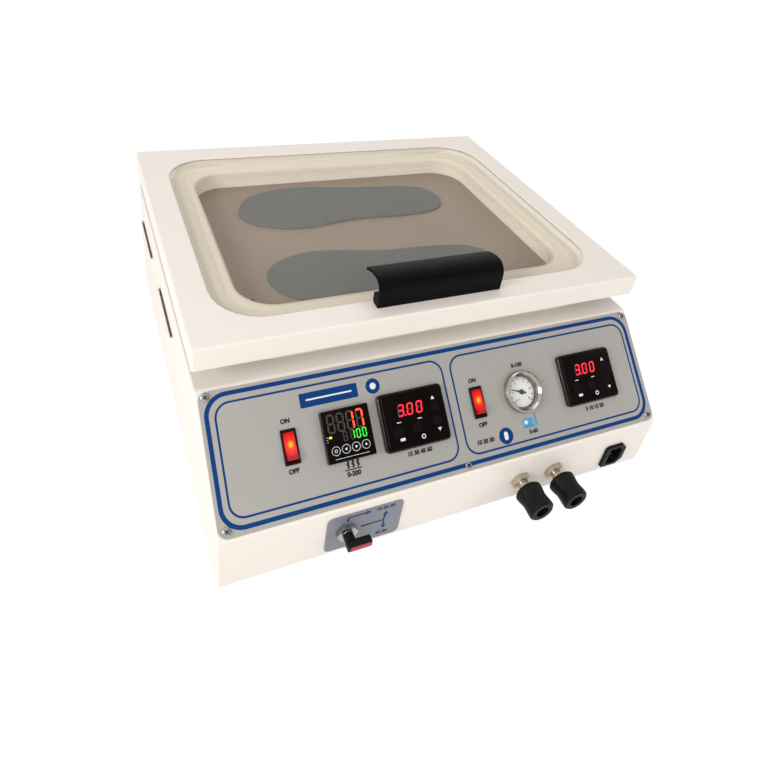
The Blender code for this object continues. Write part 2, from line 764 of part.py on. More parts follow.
def panel_openings(frame):
    """One tool for all openings of the slope and the control plate."""
    low, high = -CABINET_SHEET - CUT_OVERRUN, PLATE_TOP + CUT_OVERRUN
    rectangles = (
        (CONTROLLER_U, CONTROLLER_NECK, CONTROLLER_NECK),
        (HEAT_TIMER_U, TIMER_NECK_WIDTH, TIMER_NECK_HEIGHT),
        (VACUUM_TIMER_U, TIMER_NECK_WIDTH, TIMER_NECK_HEIGHT),
        (HEAT_SWITCH_U, SWITCH_NECK_WIDTH, SWITCH_NECK_HEIGHT),
        (VACUUM_SWITCH_U, SWITCH_NECK_WIDTH, SWITCH_NECK_HEIGHT),
    )
    tools = [block((u - width / 2 - CLEARANCE, -height / 2 - CLEARANCE, low),
                   (u + width / 2 + CLEARANCE, height / 2 + CLEARANCE, high))
             for u, width, height in rectangles]
    hole = circle(GAUGE_NECK_RADIUS + CLEARANCE, ROUND_STEPS)
    tools.append(prism(moved(hole, (GAUGE_U, 0)), low, high))
    return add_object("panel_openings", merged(tools), frame)


def band_hole(frame, place, outline):
    """A tool that cuts an outline through the front band and the valve's label plate."""
    high = CLEARANCE + VALVE_PLATE_THICKNESS + CUT_OVERRUN
    return add_object("band_hole", prism(moved(outline, place), -CABINET_SHEET - CUT_OVERRUN, high), frame)


def inlet_outline(width, height, growth=0.0):
    """The power inlet's outline: its right-hand corners are cut more than its left-hand ones."""
    chamfers = (INLET_LARGE_CHAMFER, INLET_SMALL_CHAMFER, INLET_SMALL_CHAMFER, INLET_LARGE_CHAMFER)
    return chamfered(width / 2 + growth, height / 2 + growth, chamfers)


def build_cabinet(press, panel, band, finish):
    """Folded sheet casing: front band, slope, deck, sides and back, open below."""
    shell = add_object("body_shell", bend_edges(cabinet_block(CABINET_WIDTH / 2, 0, 0), 0), press)
    inside = cabinet_block(CABINET_WIDTH / 2 - CABINET_SHEET, CABINET_SHEET, -CUT_OVERRUN)
    cut(shell, add_object("cabinet_inside", inside, press))
    edge = -COLLAR_SHEET - CABINET_SHEET
    opening = loft([window_ring(edge, DECK_TOP + rise) for rise in (-LID_HEIGHT, LID_GAP)])
    cut(shell, add_object("deck_opening", opening, press, location=(0, WELL_Y, 0)))
    cut(shell, panel_openings(panel))
    neck = circle(VALVE_NECK_RADIUS + CLEARANCE, SMALL_ROUND_STEPS)
    cut(shell, band_hole(band, (VALVE_X, VALVE_Z), neck))
    for place in COUPLER_X:
        thread = circle(COUPLER_THREAD_RADIUS + CLEARANCE, SMALL_ROUND_STEPS)
        cut(shell, band_hole(band, (place, COUPLER_Z), thread))
    neck = inlet_outline(INLET_NECK_WIDTH, INLET_NECK_HEIGHT, CLEARANCE)
    cut(shell, band_hole(band, (INLET_X, INLET_Z), neck))
    for side in (-1, 1):
        for share in LOUVRE_CENTRE_SHARES:
            hood, pocket = louvre_shapes(press, side, CABINET_BACK * share)
            join(shell, hood)
            cut(shell, pocket)
    dress(shell, finish)


def build_base(press, sheet_finish, rubber_finish):
    """Bottom plate with upturned flanges and vent slots, on four rubber feet."""
    inset = CABINET_SHEET + CLEARANCE
    half_x = CABINET_WIDTH / 2 - inset
    half_y = (FRONT_REACH + CABINET_BACK) / 2 - inset
    centre_y = (CABINET_BACK - FRONT_REACH) / 2
    outer = rounded_rectangle(half_x, half_y, BASE_CORNER, SMALL_CORNER_STEPS)
    inner = rounded_rectangle(half_x - BASE_SHEET, half_y - BASE_SHEET, BASE_CORNER / 2, SMALL_CORNER_STEPS)
    tray = loft([(outer, 0), (outer, BASE_FLANGE), (inner, BASE_FLANGE), (inner, BASE_SHEET)])
    plate = add_object("base_plate", tray, press, location=(0, centre_y, 0))
    for index in range(VENT_COUNT):
        across_x = (index - (VENT_COUNT - 1) / 2) * VENT_PITCH
        slot = rounded_rectangle(VENT_WIDTH / 2, VENT_LENGTH / 2, VENT_WIDTH / 2, SMALL_CORNER_STEPS)
        place = (VENT_PLACE[0] + across_x, VENT_PLACE[1], 0)
        tool = prism(slot, -CUT_OVERRUN, BASE_SHEET + CUT_OVERRUN)
        cut(plate, add_object("vent", tool, press, location=place))
    dress(plate, sheet_finish)
    profile = [
        (0, -FOOT_HEIGHT + FOOT_SCREW_DEPTH), (FOOT_SCREW_RADIUS, -FOOT_HEIGHT + FOOT_SCREW_DEPTH),
        (FOOT_SCREW_RADIUS, -FOOT_HEIGHT), (FOOT_BOTTOM_RADIUS - FOOT_EDGE, -FOOT_HEIGHT),
        (FOOT_BOTTOM_RADIUS, -FOOT_HEIGHT + FOOT_EDGE), (FOOT_TOP_RADIUS, -CLEARANCE), (0, -CLEARANCE),
    ]
    places = {
        "foot_front_left": (-1, -FRONT_REACH + FOOT_INSET),
        "foot_front_right": (1, -FRONT_REACH + FOOT_INSET),
        "foot_rear_left": (-1, CABINET_BACK - FOOT_INSET),
        "foot_rear_right": (1, CABINET_BACK - FOOT_INSET),
    }
    for name, (side, place_y) in places.items():
        place = (side * (CABINET_WIDTH / 2 - FOOT_INSET), place_y, 0)
        dress(add_object(name, turned(profile, SMALL_ROUND_STEPS), press, location=place), rubber_finish)


# Heated well


def build_collar(press, finish, gasket_finish):
    """Raised collar: foot on the deck, outer wall, rim, inner wall and the lip that holds the platen."""
    foot_top = COLLAR_BOTTOM + COLLAR_SHEET
    rim_under = COLLAR_TOP - COLLAR_SHEET
    rings = [
        window_ring(COLLAR_FOOT, COLLAR_BOTTOM), window_ring(COLLAR_FOOT, foot_top),
        window_ring(0, foot_top), window_ring(0, COLLAR_TOP - COLLAR_EDGE),
        window_ring(-COLLAR_EDGE, COLLAR_TOP), well_ring(COLLAR_EDGE, COLLAR_TOP),
        well_ring(0, COLLAR_TOP - COLLAR_EDGE), well_ring(0, LIP_TOP),
        well_ring(-WELL_LIP, LIP_TOP), well_ring(-WELL_LIP, LIP_BOTTOM),
        well_ring(COLLAR_SHEET, LIP_BOTTOM), well_ring(COLLAR_SHEET, rim_under),
        window_ring(-COLLAR_SHEET, rim_under), window_ring(-COLLAR_SHEET, COLLAR_BOTTOM),
    ]
    place = (0, WELL_Y, 0)
    dress(add_object("well_surround", loft(rings, ring=True), press, location=place), finish)
    base = COLLAR_TOP + CLEARANCE
    outer, inner = -GASKET_INSET, -GASKET_INSET - GASKET_WIDTH
    rings = [window_ring(outer, base), window_ring(outer, GASKET_TOP),
             window_ring(inner, GASKET_TOP), window_ring(inner, base)]
    dress(add_object("rim_gasket", loft(rings, ring=True), press, location=place), gasket_finish)


def port_tool(press, radius, low, high):
    """A round tool on the vacuum port's axis."""
    place = (PORT_PLACE[0], PORT_PLACE[1], 0)
    return add_object("port_tool", prism(circle(radius, SMALL_ROUND_STEPS), low, high), press, location=place)


def build_platen(press, finishes):
    """Platen with its vacuum port, release sheet, heater mat, insulation board and tray."""
    place = (0, WELL_Y, 0)
    edge = -PLATEN_PLAY
    rings = [well_ring(edge, PLATEN_BOTTOM), well_ring(edge, PLATEN_TOP)]
    platen = add_object("platen", loft(rings), press, location=place)
    port_end = PLATEN_BOTTOM - PORT_LENGTH
    join(platen, port_tool(press, PORT_RADIUS, port_end + BARB_LENGTH, PLATEN_TOP - PLATEN_THICKNESS / 2))
    join(platen, port_tool(press, BARB_RADIUS, port_end, PLATEN_TOP - PLATEN_THICKNESS / 2))
    cut(platen, port_tool(press, PORT_BORE, port_end - CUT_OVERRUN, PLATEN_TOP + CUT_OVERRUN))
    dress(platen, finishes["aluminium"])

    base = PLATEN_TOP + CLEARANCE
    sheet = add_object("ptfe_sheet", loft([well_ring(edge, base), well_ring(edge, RELEASE_TOP)]),
                       press, location=place)
    cut(sheet, port_tool(press, PORT_BORE, base - CUT_OVERRUN, RELEASE_TOP + CUT_OVERRUN))
    dress(sheet, finishes["ptfe"])

    heater_top = PLATEN_BOTTOM - CLEARANCE
    heater_bottom = heater_top - HEATER_THICKNESS
    heater_edge = -WELL_LIP - HEATER_MARGIN
    rings = [well_ring(heater_edge, heater_bottom), well_ring(heater_edge, heater_top)]
    heater = add_object("heater_mat", loft(rings), press, location=place)
    board_top = heater_bottom - CLEARANCE
    board_bottom = board_top - BOARD_THICKNESS
    wall_outer = -WELL_LIP - TRAY_WALL_INSET
    wall_inner = wall_outer - TRAY_SHEET
    board_edge = wall_inner - CLEARANCE
    rings = [well_ring(board_edge, board_bottom), well_ring(board_edge, board_top)]
    board = add_object("insulation_board", loft(rings), press, location=place)
    flange_top = LIP_BOTTOM - CLEARANCE
    flange_under = flange_top - TRAY_SHEET
    tray_floor = board_bottom - CLEARANCE
    rings = [
        well_ring(wall_inner, tray_floor), well_ring(wall_inner, flange_top),
        well_ring(-TRAY_FLANGE_INSET, flange_top), well_ring(-TRAY_FLANGE_INSET, flange_under),
        well_ring(wall_outer, flange_under), well_ring(wall_outer, tray_floor - TRAY_SHEET),
    ]
    tray = add_object("insulation_tray", loft(rings), press, location=place)
    for piece, finish in ((heater, "heater"), (board, "insulation"), (tray, "zinc")):
        cut(piece, port_tool(press, PORT_CLEARANCE_RADIUS, port_end, PLATEN_TOP))
        dress(piece, finishes[finish])


def build_insoles(press, finish):
    """Two flat insole blanks, toes to the left, as a pair."""
    for name, outline in (("insole_front", FRONT_INSOLE), ("insole_rear", REAR_INSOLE)):
        inner = grown(outline, -INSOLE_EDGE)
        shape = loft([(outline, WORK_BOTTOM), (outline, INSOLE_TOP - INSOLE_EDGE), (inner, INSOLE_TOP)])
        dress(add_object(name, shape, press), finish)


# Lid


def build_lid(lid, finish):
    """Folded sheet tray with the round-cornered window."""
    rings = [
        lid_ring(0, LID_BOTTOM), lid_ring(0, LID_TOP - LID_BEND),
        lid_ring(LID_BEND * (1 - math.sqrt(0.5)), LID_TOP - LID_BEND * (1 - math.sqrt(0.5))),
        lid_ring(LID_BEND, LID_TOP), window_ring(WINDOW_EDGE, LID_TOP),
        window_ring(0, LID_TOP - WINDOW_EDGE), window_ring(0, LID_UNDERSIDE),
        lid_ring(LID_SHEET, LID_UNDERSIDE), lid_ring(LID_SHEET, LID_BOTTOM),
    ]
    place = (0, WELL_Y - HINGE_AXIS_Y, -HINGE_AXIS_Z)
    dress(add_object("lid_frame", loft(rings, ring=True), lid, location=place), finish)


def build_clamp(lid, finish):
    """Flat frame that clamps the membrane's edge to the underside of the lid."""
    top = MEMBRANE_CLAMPED_TOP - MEMBRANE_THICKNESS - CLEARANCE
    bottom = top - CLAMP_THICKNESS
    rings = [clamp_ring(bottom), clamp_ring(top),
             window_ring(CLAMP_CLEAR, top), window_ring(CLAMP_CLEAR, bottom)]
    place = (0, WELL_Y - HINGE_AXIS_Y, -HINGE_AXIS_Z)
    dress(add_object("membrane_clamp", loft(rings, ring=True), lid, location=place), finish)


def membrane_rings(depth):
    """The membrane's rings at a depth below its upper face, from its clamped edge to the floor."""
    shoulder = MEMBRANE_SHOULDER - depth
    foot = MEMBRANE_FOOT_RADIUS + depth
    wall = -CLEARANCE - MEMBRANE_THICKNESS
    bend = math.sqrt(0.5)
    shoulder_height = MEMBRANE_LEDGE_TOP - MEMBRANE_SHOULDER
    foot_height = MEMBRANE_FLOOR_TOP + MEMBRANE_FOOT_RADIUS
    step_shift = depth * math.tan(math.pi / 8)
    return [
        clamp_ring(MEMBRANE_CLAMPED_TOP - depth),
        window_ring(MEMBRANE_STEP_OUT - step_shift, MEMBRANE_CLAMPED_TOP - depth),
        window_ring(-MEMBRANE_STEP_IN - step_shift, MEMBRANE_LEDGE_TOP - depth),
        well_ring(wall + MEMBRANE_SHOULDER, MEMBRANE_LEDGE_TOP - depth),
        well_ring(wall + MEMBRANE_SHOULDER - shoulder * bend, shoulder_height + shoulder * bend),
        well_ring(wall + MEMBRANE_SHOULDER - shoulder, shoulder_height),
        well_ring(wall - MEMBRANE_FOOT_RADIUS + foot, foot_height),
        well_ring(wall - MEMBRANE_FOOT_RADIUS + foot * bend, foot_height - foot * bend),
        well_ring(wall - MEMBRANE_FOOT_RADIUS, MEMBRANE_FLOOR_TOP - depth),
    ]


def pocket_rings(outline, depth):
    """The rings of the pocket that the membrane forms over one insole, from its foot to its top."""
    rise = (MEMBRANE_POCKET_TOP - MEMBRANE_FLOOR_TOP) * POCKET_SIDE_RISE_SHARE
    shift = depth / 2
    return [
        (grown(outline, POCKET_FOOT - shift), MEMBRANE_FLOOR_TOP - depth),
        (grown(outline, POCKET_SIDE - shift), MEMBRANE_FLOOR_TOP + rise - depth),
        (grown(outline, POCKET_TOP - shift), MEMBRANE_POCKET_TOP - depth),
    ]


def add_rows(shape, rings, centre_y):
    """Adds rows of points for rings and skins them; returns the rows."""
    rows = [[shape.verts.new((x, y + centre_y, height)) for x, y in outline] for outline, height in rings]
    for lower, upper in zip(rows, rows[1:]):
        for index in range(len(lower)):
            following = (index + 1) % len(lower)
            shape.faces.new((lower[index], lower[following], upper[following], upper[index]))
    return rows


def loop_edges(shape, row):
    """The edges that join a row of points into a loop, made where they are missing."""
    edges = []
    for index, vert in enumerate(row):
        following = row[(index + 1) % len(row)]
        edges.append(shape.edges.get((vert, following)) or shape.edges.new((vert, following)))
    return edges


def build_membrane(lid, finish):
    """Silicone sheet: clamped edge, ledge on the gasket, wall, floor and a pocket over each insole."""
    shape = bmesh.new()
    edges = []
    for depth in (0, MEMBRANE_THICKNESS):
        sheet = add_rows(shape, membrane_rings(depth), WELL_Y)
        insoles = (FRONT_INSOLE, REAR_INSOLE)
        pockets = [add_rows(shape, pocket_rings(outline, depth), 0) for outline in insoles]
        floor_edges = loop_edges(shape, sheet[-1])
        for pocket in pockets:
            floor_edges += loop_edges(shape, pocket[0])
            shape.faces.new(pocket[-1])
        bmesh.ops.triangle_fill(shape, use_beauty=True, use_dissolve=False, edges=floor_edges)
        edges.append(sheet[0])
    upper, lower = edges
    for index in range(len(upper)):
        following = (index + 1) % len(upper)
        shape.faces.new((upper[index], upper[following], lower[following], lower[index]))
    bmesh.ops.translate(shape, vec=(0, -HINGE_AXIS_Y, -HINGE_AXIS_Z), verts=shape.verts)
    dress(add_object("membrane", shape, lid), finish)


def handle_section():
    """The handle's section as (Y, Z), from the front of its foot over the shell and back."""
    centre = (HANDLE_FRONT + HANDLE_BEND_RADIUS, HANDLE_BEND_HEIGHT)
    crown = HANDLE_BEND_HEIGHT + HANDLE_BEND_RADIUS
    back = (centre[0], crown - HANDLE_BACK_RADIUS)
    upright = math.pi / 2
    outer = arc(centre, HANDLE_BEND_RADIUS, math.pi, upright, HANDLE_BEND_STEPS)
    sweep_end = upright - HANDLE_BACK_SWEEP
    outer += arc(back, HANDLE_BACK_RADIUS, upright, sweep_end, HANDLE_BACK_STEPS)[1:]
    inner = arc(back, HANDLE_BACK_RADIUS - HANDLE_WALL, sweep_end, upright, HANDLE_BACK_STEPS)
    inner += arc(centre, HANDLE_BEND_RADIUS - HANDLE_WALL, upright, math.pi, HANDLE_BEND_STEPS)[1:]
    foot_back = HANDLE_FRONT + HANDLE_FOOT_DEPTH
    foot = [
        (HANDLE_FRONT + HANDLE_WALL, HANDLE_FOOT_SHOULDER), (foot_back - CLEARANCE, HANDLE_FOOT_HEIGHT),
        (foot_back, HANDLE_FOOT_CHAMFER), (foot_back - HANDLE_FOOT_CHAMFER, 0), (HANDLE_FRONT, 0),
    ]
    return outer + inner + foot


def build_handle(lid, finish):
    """Black extruded pull with its fingers' shell curving back over the window's edge."""
    shape = prism(handle_section(), -HANDLE_LENGTH / 2, HANDLE_LENGTH / 2)
    turn = Matrix(((0, 0, 1, 0), (1, 0, 0, 0), (0, 1, 0, 0), (0, 0, 0, 1)))
    bmesh.ops.transform(shape, matrix=turn, verts=shape.verts)
    place = (0, -HINGE_AXIS_Y, LID_TOP + CLEARANCE - HINGE_AXIS_Z)
    dress(add_object("handle", shape, lid, location=place), finish)


def knuckle(name, frame, low, high, upwards):
    """A hinge knuckle and the tab that joins it to its leaf, round an axis at the frame's origin."""
    side = 1 if upwards else -1
    round_bar = prism(circle(HINGE_KNUCKLE_RADIUS, SMALL_ROUND_STEPS), low, high)
    barrel = add_object(name, across(round_bar), frame)
    reach = HINGE_KNUCKLE_RADIUS * 2
    span = sorted((0, side * reach))
    tab = block((low, -HINGE_KNUCKLE_RADIUS, span[0]), (high, -HINGE_KNUCKLE_RADIUS + HINGE_LEAF, span[1]))
    return join(barrel, add_object("tab", tab, frame))


def build_hinges(press, lid, finish):
    """Two butt hinges behind the press: a leaf on the cabinet, a leaf on the lid and a pin."""
    half = HINGE_WIDTH / 2
    middle = half * HINGE_MIDDLE_SHARE
    leaf_start = HINGE_KNUCKLE_RADIUS + CLEARANCE
    front = -HINGE_KNUCKLE_RADIUS
    axis = (HINGE_AXIS_Y, HINGE_AXIS_Z)
    for name, centre in (("left", -HINGE_X), ("right", HINGE_X)):
        body_frame = add_frame("hinge_frame_" + name, press, location=(centre, axis[0], axis[1]))
        lid_frame = add_frame("hinge_lid_frame_" + name, lid, location=(centre, 0, 0))
        bore = HINGE_PIN_RADIUS + CLEARANCE
        plate = block((-half, front, -HINGE_LEAF_REACH), (half, front + HINGE_LEAF, -leaf_start))
        body_leaf = add_object("hinge_body_leaf_" + name, plate, body_frame)
        join(body_leaf, knuckle("knuckle", body_frame, -half, -middle, upwards=False),
             knuckle("knuckle", body_frame, middle, half, upwards=False))
        drill = across(prism(circle(bore, SMALL_ROUND_STEPS), -half - CUT_OVERRUN, half + CUT_OVERRUN))
        cut(body_leaf, add_object("drill", drill, body_frame))
        plate = block((-half, front, leaf_start), (half, front + HINGE_LEAF, HINGE_LEAF_REACH))
        lid_leaf = add_object("hinge_lid_leaf_" + name, plate, lid_frame)
        inner = middle - CLEARANCE
        join(lid_leaf, knuckle("knuckle", lid_frame, -inner, inner, upwards=True))
        drill = across(prism(circle(bore, SMALL_ROUND_STEPS), -half, half))
        cut(lid_leaf, add_object("drill", drill, lid_frame))
        head = half + CLEARANCE
        profile = [
            (0, -head - HINGE_PIN_HEAD), (HINGE_PIN_HEAD_RADIUS, -head - HINGE_PIN_HEAD),
            (HINGE_PIN_HEAD_RADIUS, -head), (HINGE_PIN_RADIUS, -head),
            (HINGE_PIN_RADIUS, head), (0, head),
        ]
        pin = add_object("hinge_pin_" + name, across(turned(profile, SMALL_ROUND_STEPS)), body_frame)
        for piece in (body_leaf, lid_leaf, pin):
            dress(piece, finish)


# Control panel


def build_plate(panel, finish):
    """Printed aluminium plate over the whole slope."""
    outline = rounded_rectangle(PLATE_WIDTH / 2, PLATE_HEIGHT / 2, PLATE_CORNER)
    plate = add_object("control_plate", prism(outline, CLEARANCE, PLATE_TOP), panel)
    dress(cut(plate, panel_openings(panel)), finish)


def instrument(name, panel, centre_u, face, rise, corner, edge, neck, depth):
    """A panel instrument: a bezel over the plate and a box behind it, as one moulding."""
    seat = PLATE_TOP + CLEARANCE
    crown = PLATE_TOP + rise
    half = (face[0] / 2, face[1] / 2)
    neck_outline = rounded_rectangle(neck[0] / 2, neck[1] / 2, edge, SMALL_CORNER_STEPS)
    face_outline = rounded_rectangle(half[0], half[1], corner, SMALL_CORNER_STEPS)
    crown_corner = max(corner - edge, edge)
    crown_outline = rounded_rectangle(half[0] - edge, half[1] - edge, crown_corner, SMALL_CORNER_STEPS)
    rings = [(neck_outline, -depth), (neck_outline, seat), (face_outline, seat),
             (face_outline, crown - edge), (crown_outline, crown)]
    return add_object(name, loft(rings), panel, location=(centre_u, 0, 0))


def add_key(name, panel, place, crown, outline, finish):
    """A key whose top stands just proud of its bezel."""
    top = KEY_PROUD
    low = top - KEY_THICKNESS
    shape = loft([(outline, low), (outline, top - KEY_EDGE), (grown(outline, -KEY_EDGE), top)])
    dress(add_object(name, shape, panel, location=(place[0], place[1], crown)), finish)


def key_pocket(panel, place, crown, outline):
    """The pocket that a key travels in."""
    floor = crown + KEY_PROUD - KEY_THICKNESS - KEY_TRAVEL - CLEARANCE
    shape = prism(grown(outline, KEY_PLAY), floor, crown + CUT_OVERRUN)
    return add_object("key_pocket", shape, panel, location=(place[0], place[1], 0))


def build_controller(panel, finishes):
    """Square temperature controller with four round keys along its lower edge."""
    face = (CONTROLLER_SIDE, CONTROLLER_SIDE)
    neck = (CONTROLLER_NECK, CONTROLLER_NECK)
    body = instrument("temperature_controller", panel, CONTROLLER_U, face, CONTROLLER_RISE,
                      CONTROLLER_CORNER, CONTROLLER_EDGE, neck, CONTROLLER_DEPTH)
    crown = PLATE_TOP + CONTROLLER_RISE
    outline = circle(CONTROLLER_KEY_RADIUS, SMALL_ROUND_STEPS)
    for index in range(CONTROLLER_KEY_COUNT):
        offset = (index - (CONTROLLER_KEY_COUNT - 1) / 2) * CONTROLLER_KEY_PITCH
        place = (CONTROLLER_U + offset, CONTROLLER_KEY_V)
        cut(body, key_pocket(panel, place, crown, outline))
        add_key("controller_key_%d" % (index + 1), panel, place, crown, outline, finishes["key"])
    dress(body, finishes["black_plastic"])


def build_timer(name, panel, centre_u, finishes):
    """Digital timer with four square keys."""
    face = (TIMER_WIDTH, TIMER_HEIGHT)
    neck = (TIMER_NECK_WIDTH, TIMER_NECK_HEIGHT)
    body = instrument(name, panel, centre_u, face, TIMER_RISE, TIMER_CORNER, TIMER_EDGE, neck, TIMER_DEPTH)
    crown = PLATE_TOP + TIMER_RISE
    half = TIMER_KEY_SIDE / 2
    outline = rounded_rectangle(half, half, TIMER_KEY_CORNER, TIMER_KEY_STEPS)
    for key, (offset_u, offset_v) in TIMER_KEYS.items():
        place = (centre_u + offset_u, offset_v)
        cut(body, key_pocket(panel, place, crown, outline))
        add_key(name + "_key_" + key, panel, place, crown, outline, finishes["key"])
    dress(body, finishes["black_plastic"])


def rocker_section():
    """The rocker's section as (V, height over its pivot): two slopes that meet in a shallow dip."""
    end = ROCKER_HALF_LENGTH
    top = ROCKER_PIVOT_DEPTH + ROCKER_END_RISE
    dip = ROCKER_PIVOT_DEPTH + ROCKER_WAIST_RISE
    belly = end * ROCKER_BELLY_SHARE
    return [(-belly, -ROCKER_BELLY), (belly, -ROCKER_BELLY), (end, ROCKER_WAIST_RISE), (end, top),
            (0, dip), (-end, top), (-end, ROCKER_WAIST_RISE)]


def build_switch(name, panel, centre_u, finishes):
    """Rocker switch: a bezel with a deep mouth and a tilted rocker in it."""
    face = (SWITCH_WIDTH, SWITCH_HEIGHT)
    neck = (SWITCH_NECK_WIDTH, SWITCH_NECK_HEIGHT)
    bezel = instrument(name + "_bezel", panel, centre_u, face, SWITCH_RISE, SWITCH_CORNER, SWITCH_EDGE,
                       neck, SWITCH_DEPTH)
    crown = PLATE_TOP + SWITCH_RISE
    half = (SWITCH_MOUTH_WIDTH / 2, SWITCH_MOUTH_HEIGHT / 2)
    mouth = block((-half[0], -half[1], crown - SWITCH_MOUTH_DEPTH), (half[0], half[1], crown + CUT_OVERRUN))
    cut(bezel, add_object("switch_mouth", mouth, panel, location=(centre_u, 0, 0)))
    dress(bezel, finishes["black_plastic"])
    shape = prism(rocker_section(), -ROCKER_WIDTH / 2, ROCKER_WIDTH / 2)
    turn = Matrix(((0, 0, 1, 0), (1, 0, 0, 0), (0, 1, 0, 0), (0, 0, 0, 1)))
    bmesh.ops.transform(shape, matrix=Matrix.Rotation(-ROCKER_TILT, 4, "X") @ turn, verts=shape.verts)
    place = (centre_u, 0, crown - ROCKER_PIVOT_DEPTH)
    dress(add_object(name + "_rocker", shape, panel, location=place), finishes["red_lens"])


def build_gauge(panel, finishes):
    """Vacuum gauge: case with a broad chrome bezel, dial, needle and lens."""
    seat = PLATE_TOP + CLEARANCE
    lens_base = PLATE_TOP + LENS_SEAT_HEIGHT
    floor = PLATE_TOP - DIAL_FLOOR
    tail = -GAUGE_DEPTH - GAUGE_TAIL_LENGTH
    profile = [
        (0, tail), (GAUGE_TAIL_RADIUS, tail), (GAUGE_TAIL_RADIUS, -GAUGE_DEPTH),
        (GAUGE_NECK_RADIUS, -GAUGE_DEPTH), (GAUGE_NECK_RADIUS, seat), (GAUGE_RADIUS, seat),
        (GAUGE_RADIUS, PLATE_TOP + GAUGE_SIDE_HEIGHT),
        (GAUGE_SHOULDER_RADIUS, PLATE_TOP + GAUGE_SHOULDER_HEIGHT),
        (GAUGE_CROWN_RADIUS, PLATE_TOP + GAUGE_CROWN_HEIGHT),
        (GAUGE_THROAT_RADIUS, PLATE_TOP + GAUGE_THROAT_HEIGHT),
        (LENS_RADIUS + CLEARANCE, lens_base + LENS_THICKNESS), (LENS_RADIUS + CLEARANCE, lens_base),
        (DIAL_RADIUS + CLEARANCE, lens_base), (DIAL_RADIUS + CLEARANCE, floor), (0, floor),
    ]
    place = (GAUGE_U, 0, 0)
    dress(add_object("gauge_case", turned(profile, ROUND_STEPS), panel, location=place), finishes["chrome"])
    dial_base = floor + CLEARANCE
    dial_top = dial_base + DIAL_THICKNESS
    profile = [(DIAL_HOLE_RADIUS, dial_base), (DIAL_RADIUS, dial_base),
               (DIAL_RADIUS, dial_top), (DIAL_HOLE_RADIUS, dial_top)]
    dial = add_object("gauge_dial", turned_ring(profile, ROUND_STEPS), panel, location=place)
    dress(dial, finishes["dial"])
    glass_base = lens_base + CLEARANCE
    disc = prism(circle(LENS_RADIUS, ROUND_STEPS), glass_base, glass_base + LENS_THICKNESS)
    dress(add_object("gauge_lens", disc, panel, location=place), finishes["glass"])
    hub = turned([
        (0, -DIAL_THICKNESS), (NEEDLE_SPINDLE_RADIUS, -DIAL_THICKNESS), (NEEDLE_SPINDLE_RADIUS, CLEARANCE),
        (NEEDLE_HUB_RADIUS, CLEARANCE), (NEEDLE_HUB_RADIUS, NEEDLE_HUB_HEIGHT), (0, NEEDLE_HUB_HEIGHT),
    ], SMALL_ROUND_STEPS)
    needle = add_object("gauge_needle", hub, panel, location=(GAUGE_U, 0, dial_top), turn=NEEDLE_REST)
    root, tip, end = NEEDLE_ROOT_WIDTH / 2, NEEDLE_TIP_WIDTH / 2, NEEDLE_TAIL_WIDTH / 2
    outline = [(-NEEDLE_TAIL, -end), (0, -root), (NEEDLE_LENGTH, -tip),
               (NEEDLE_LENGTH, tip), (0, root), (-NEEDLE_TAIL, end)]
    pointer = prism(outline, CLEARANCE, NEEDLE_THICKNESS + CLEARANCE)
    join(needle, add_object("pointer", pointer, panel, location=(GAUGE_U, 0, dial_top), turn=NEEDLE_REST))
    dress(needle, finishes["black_plastic"])


# Front band


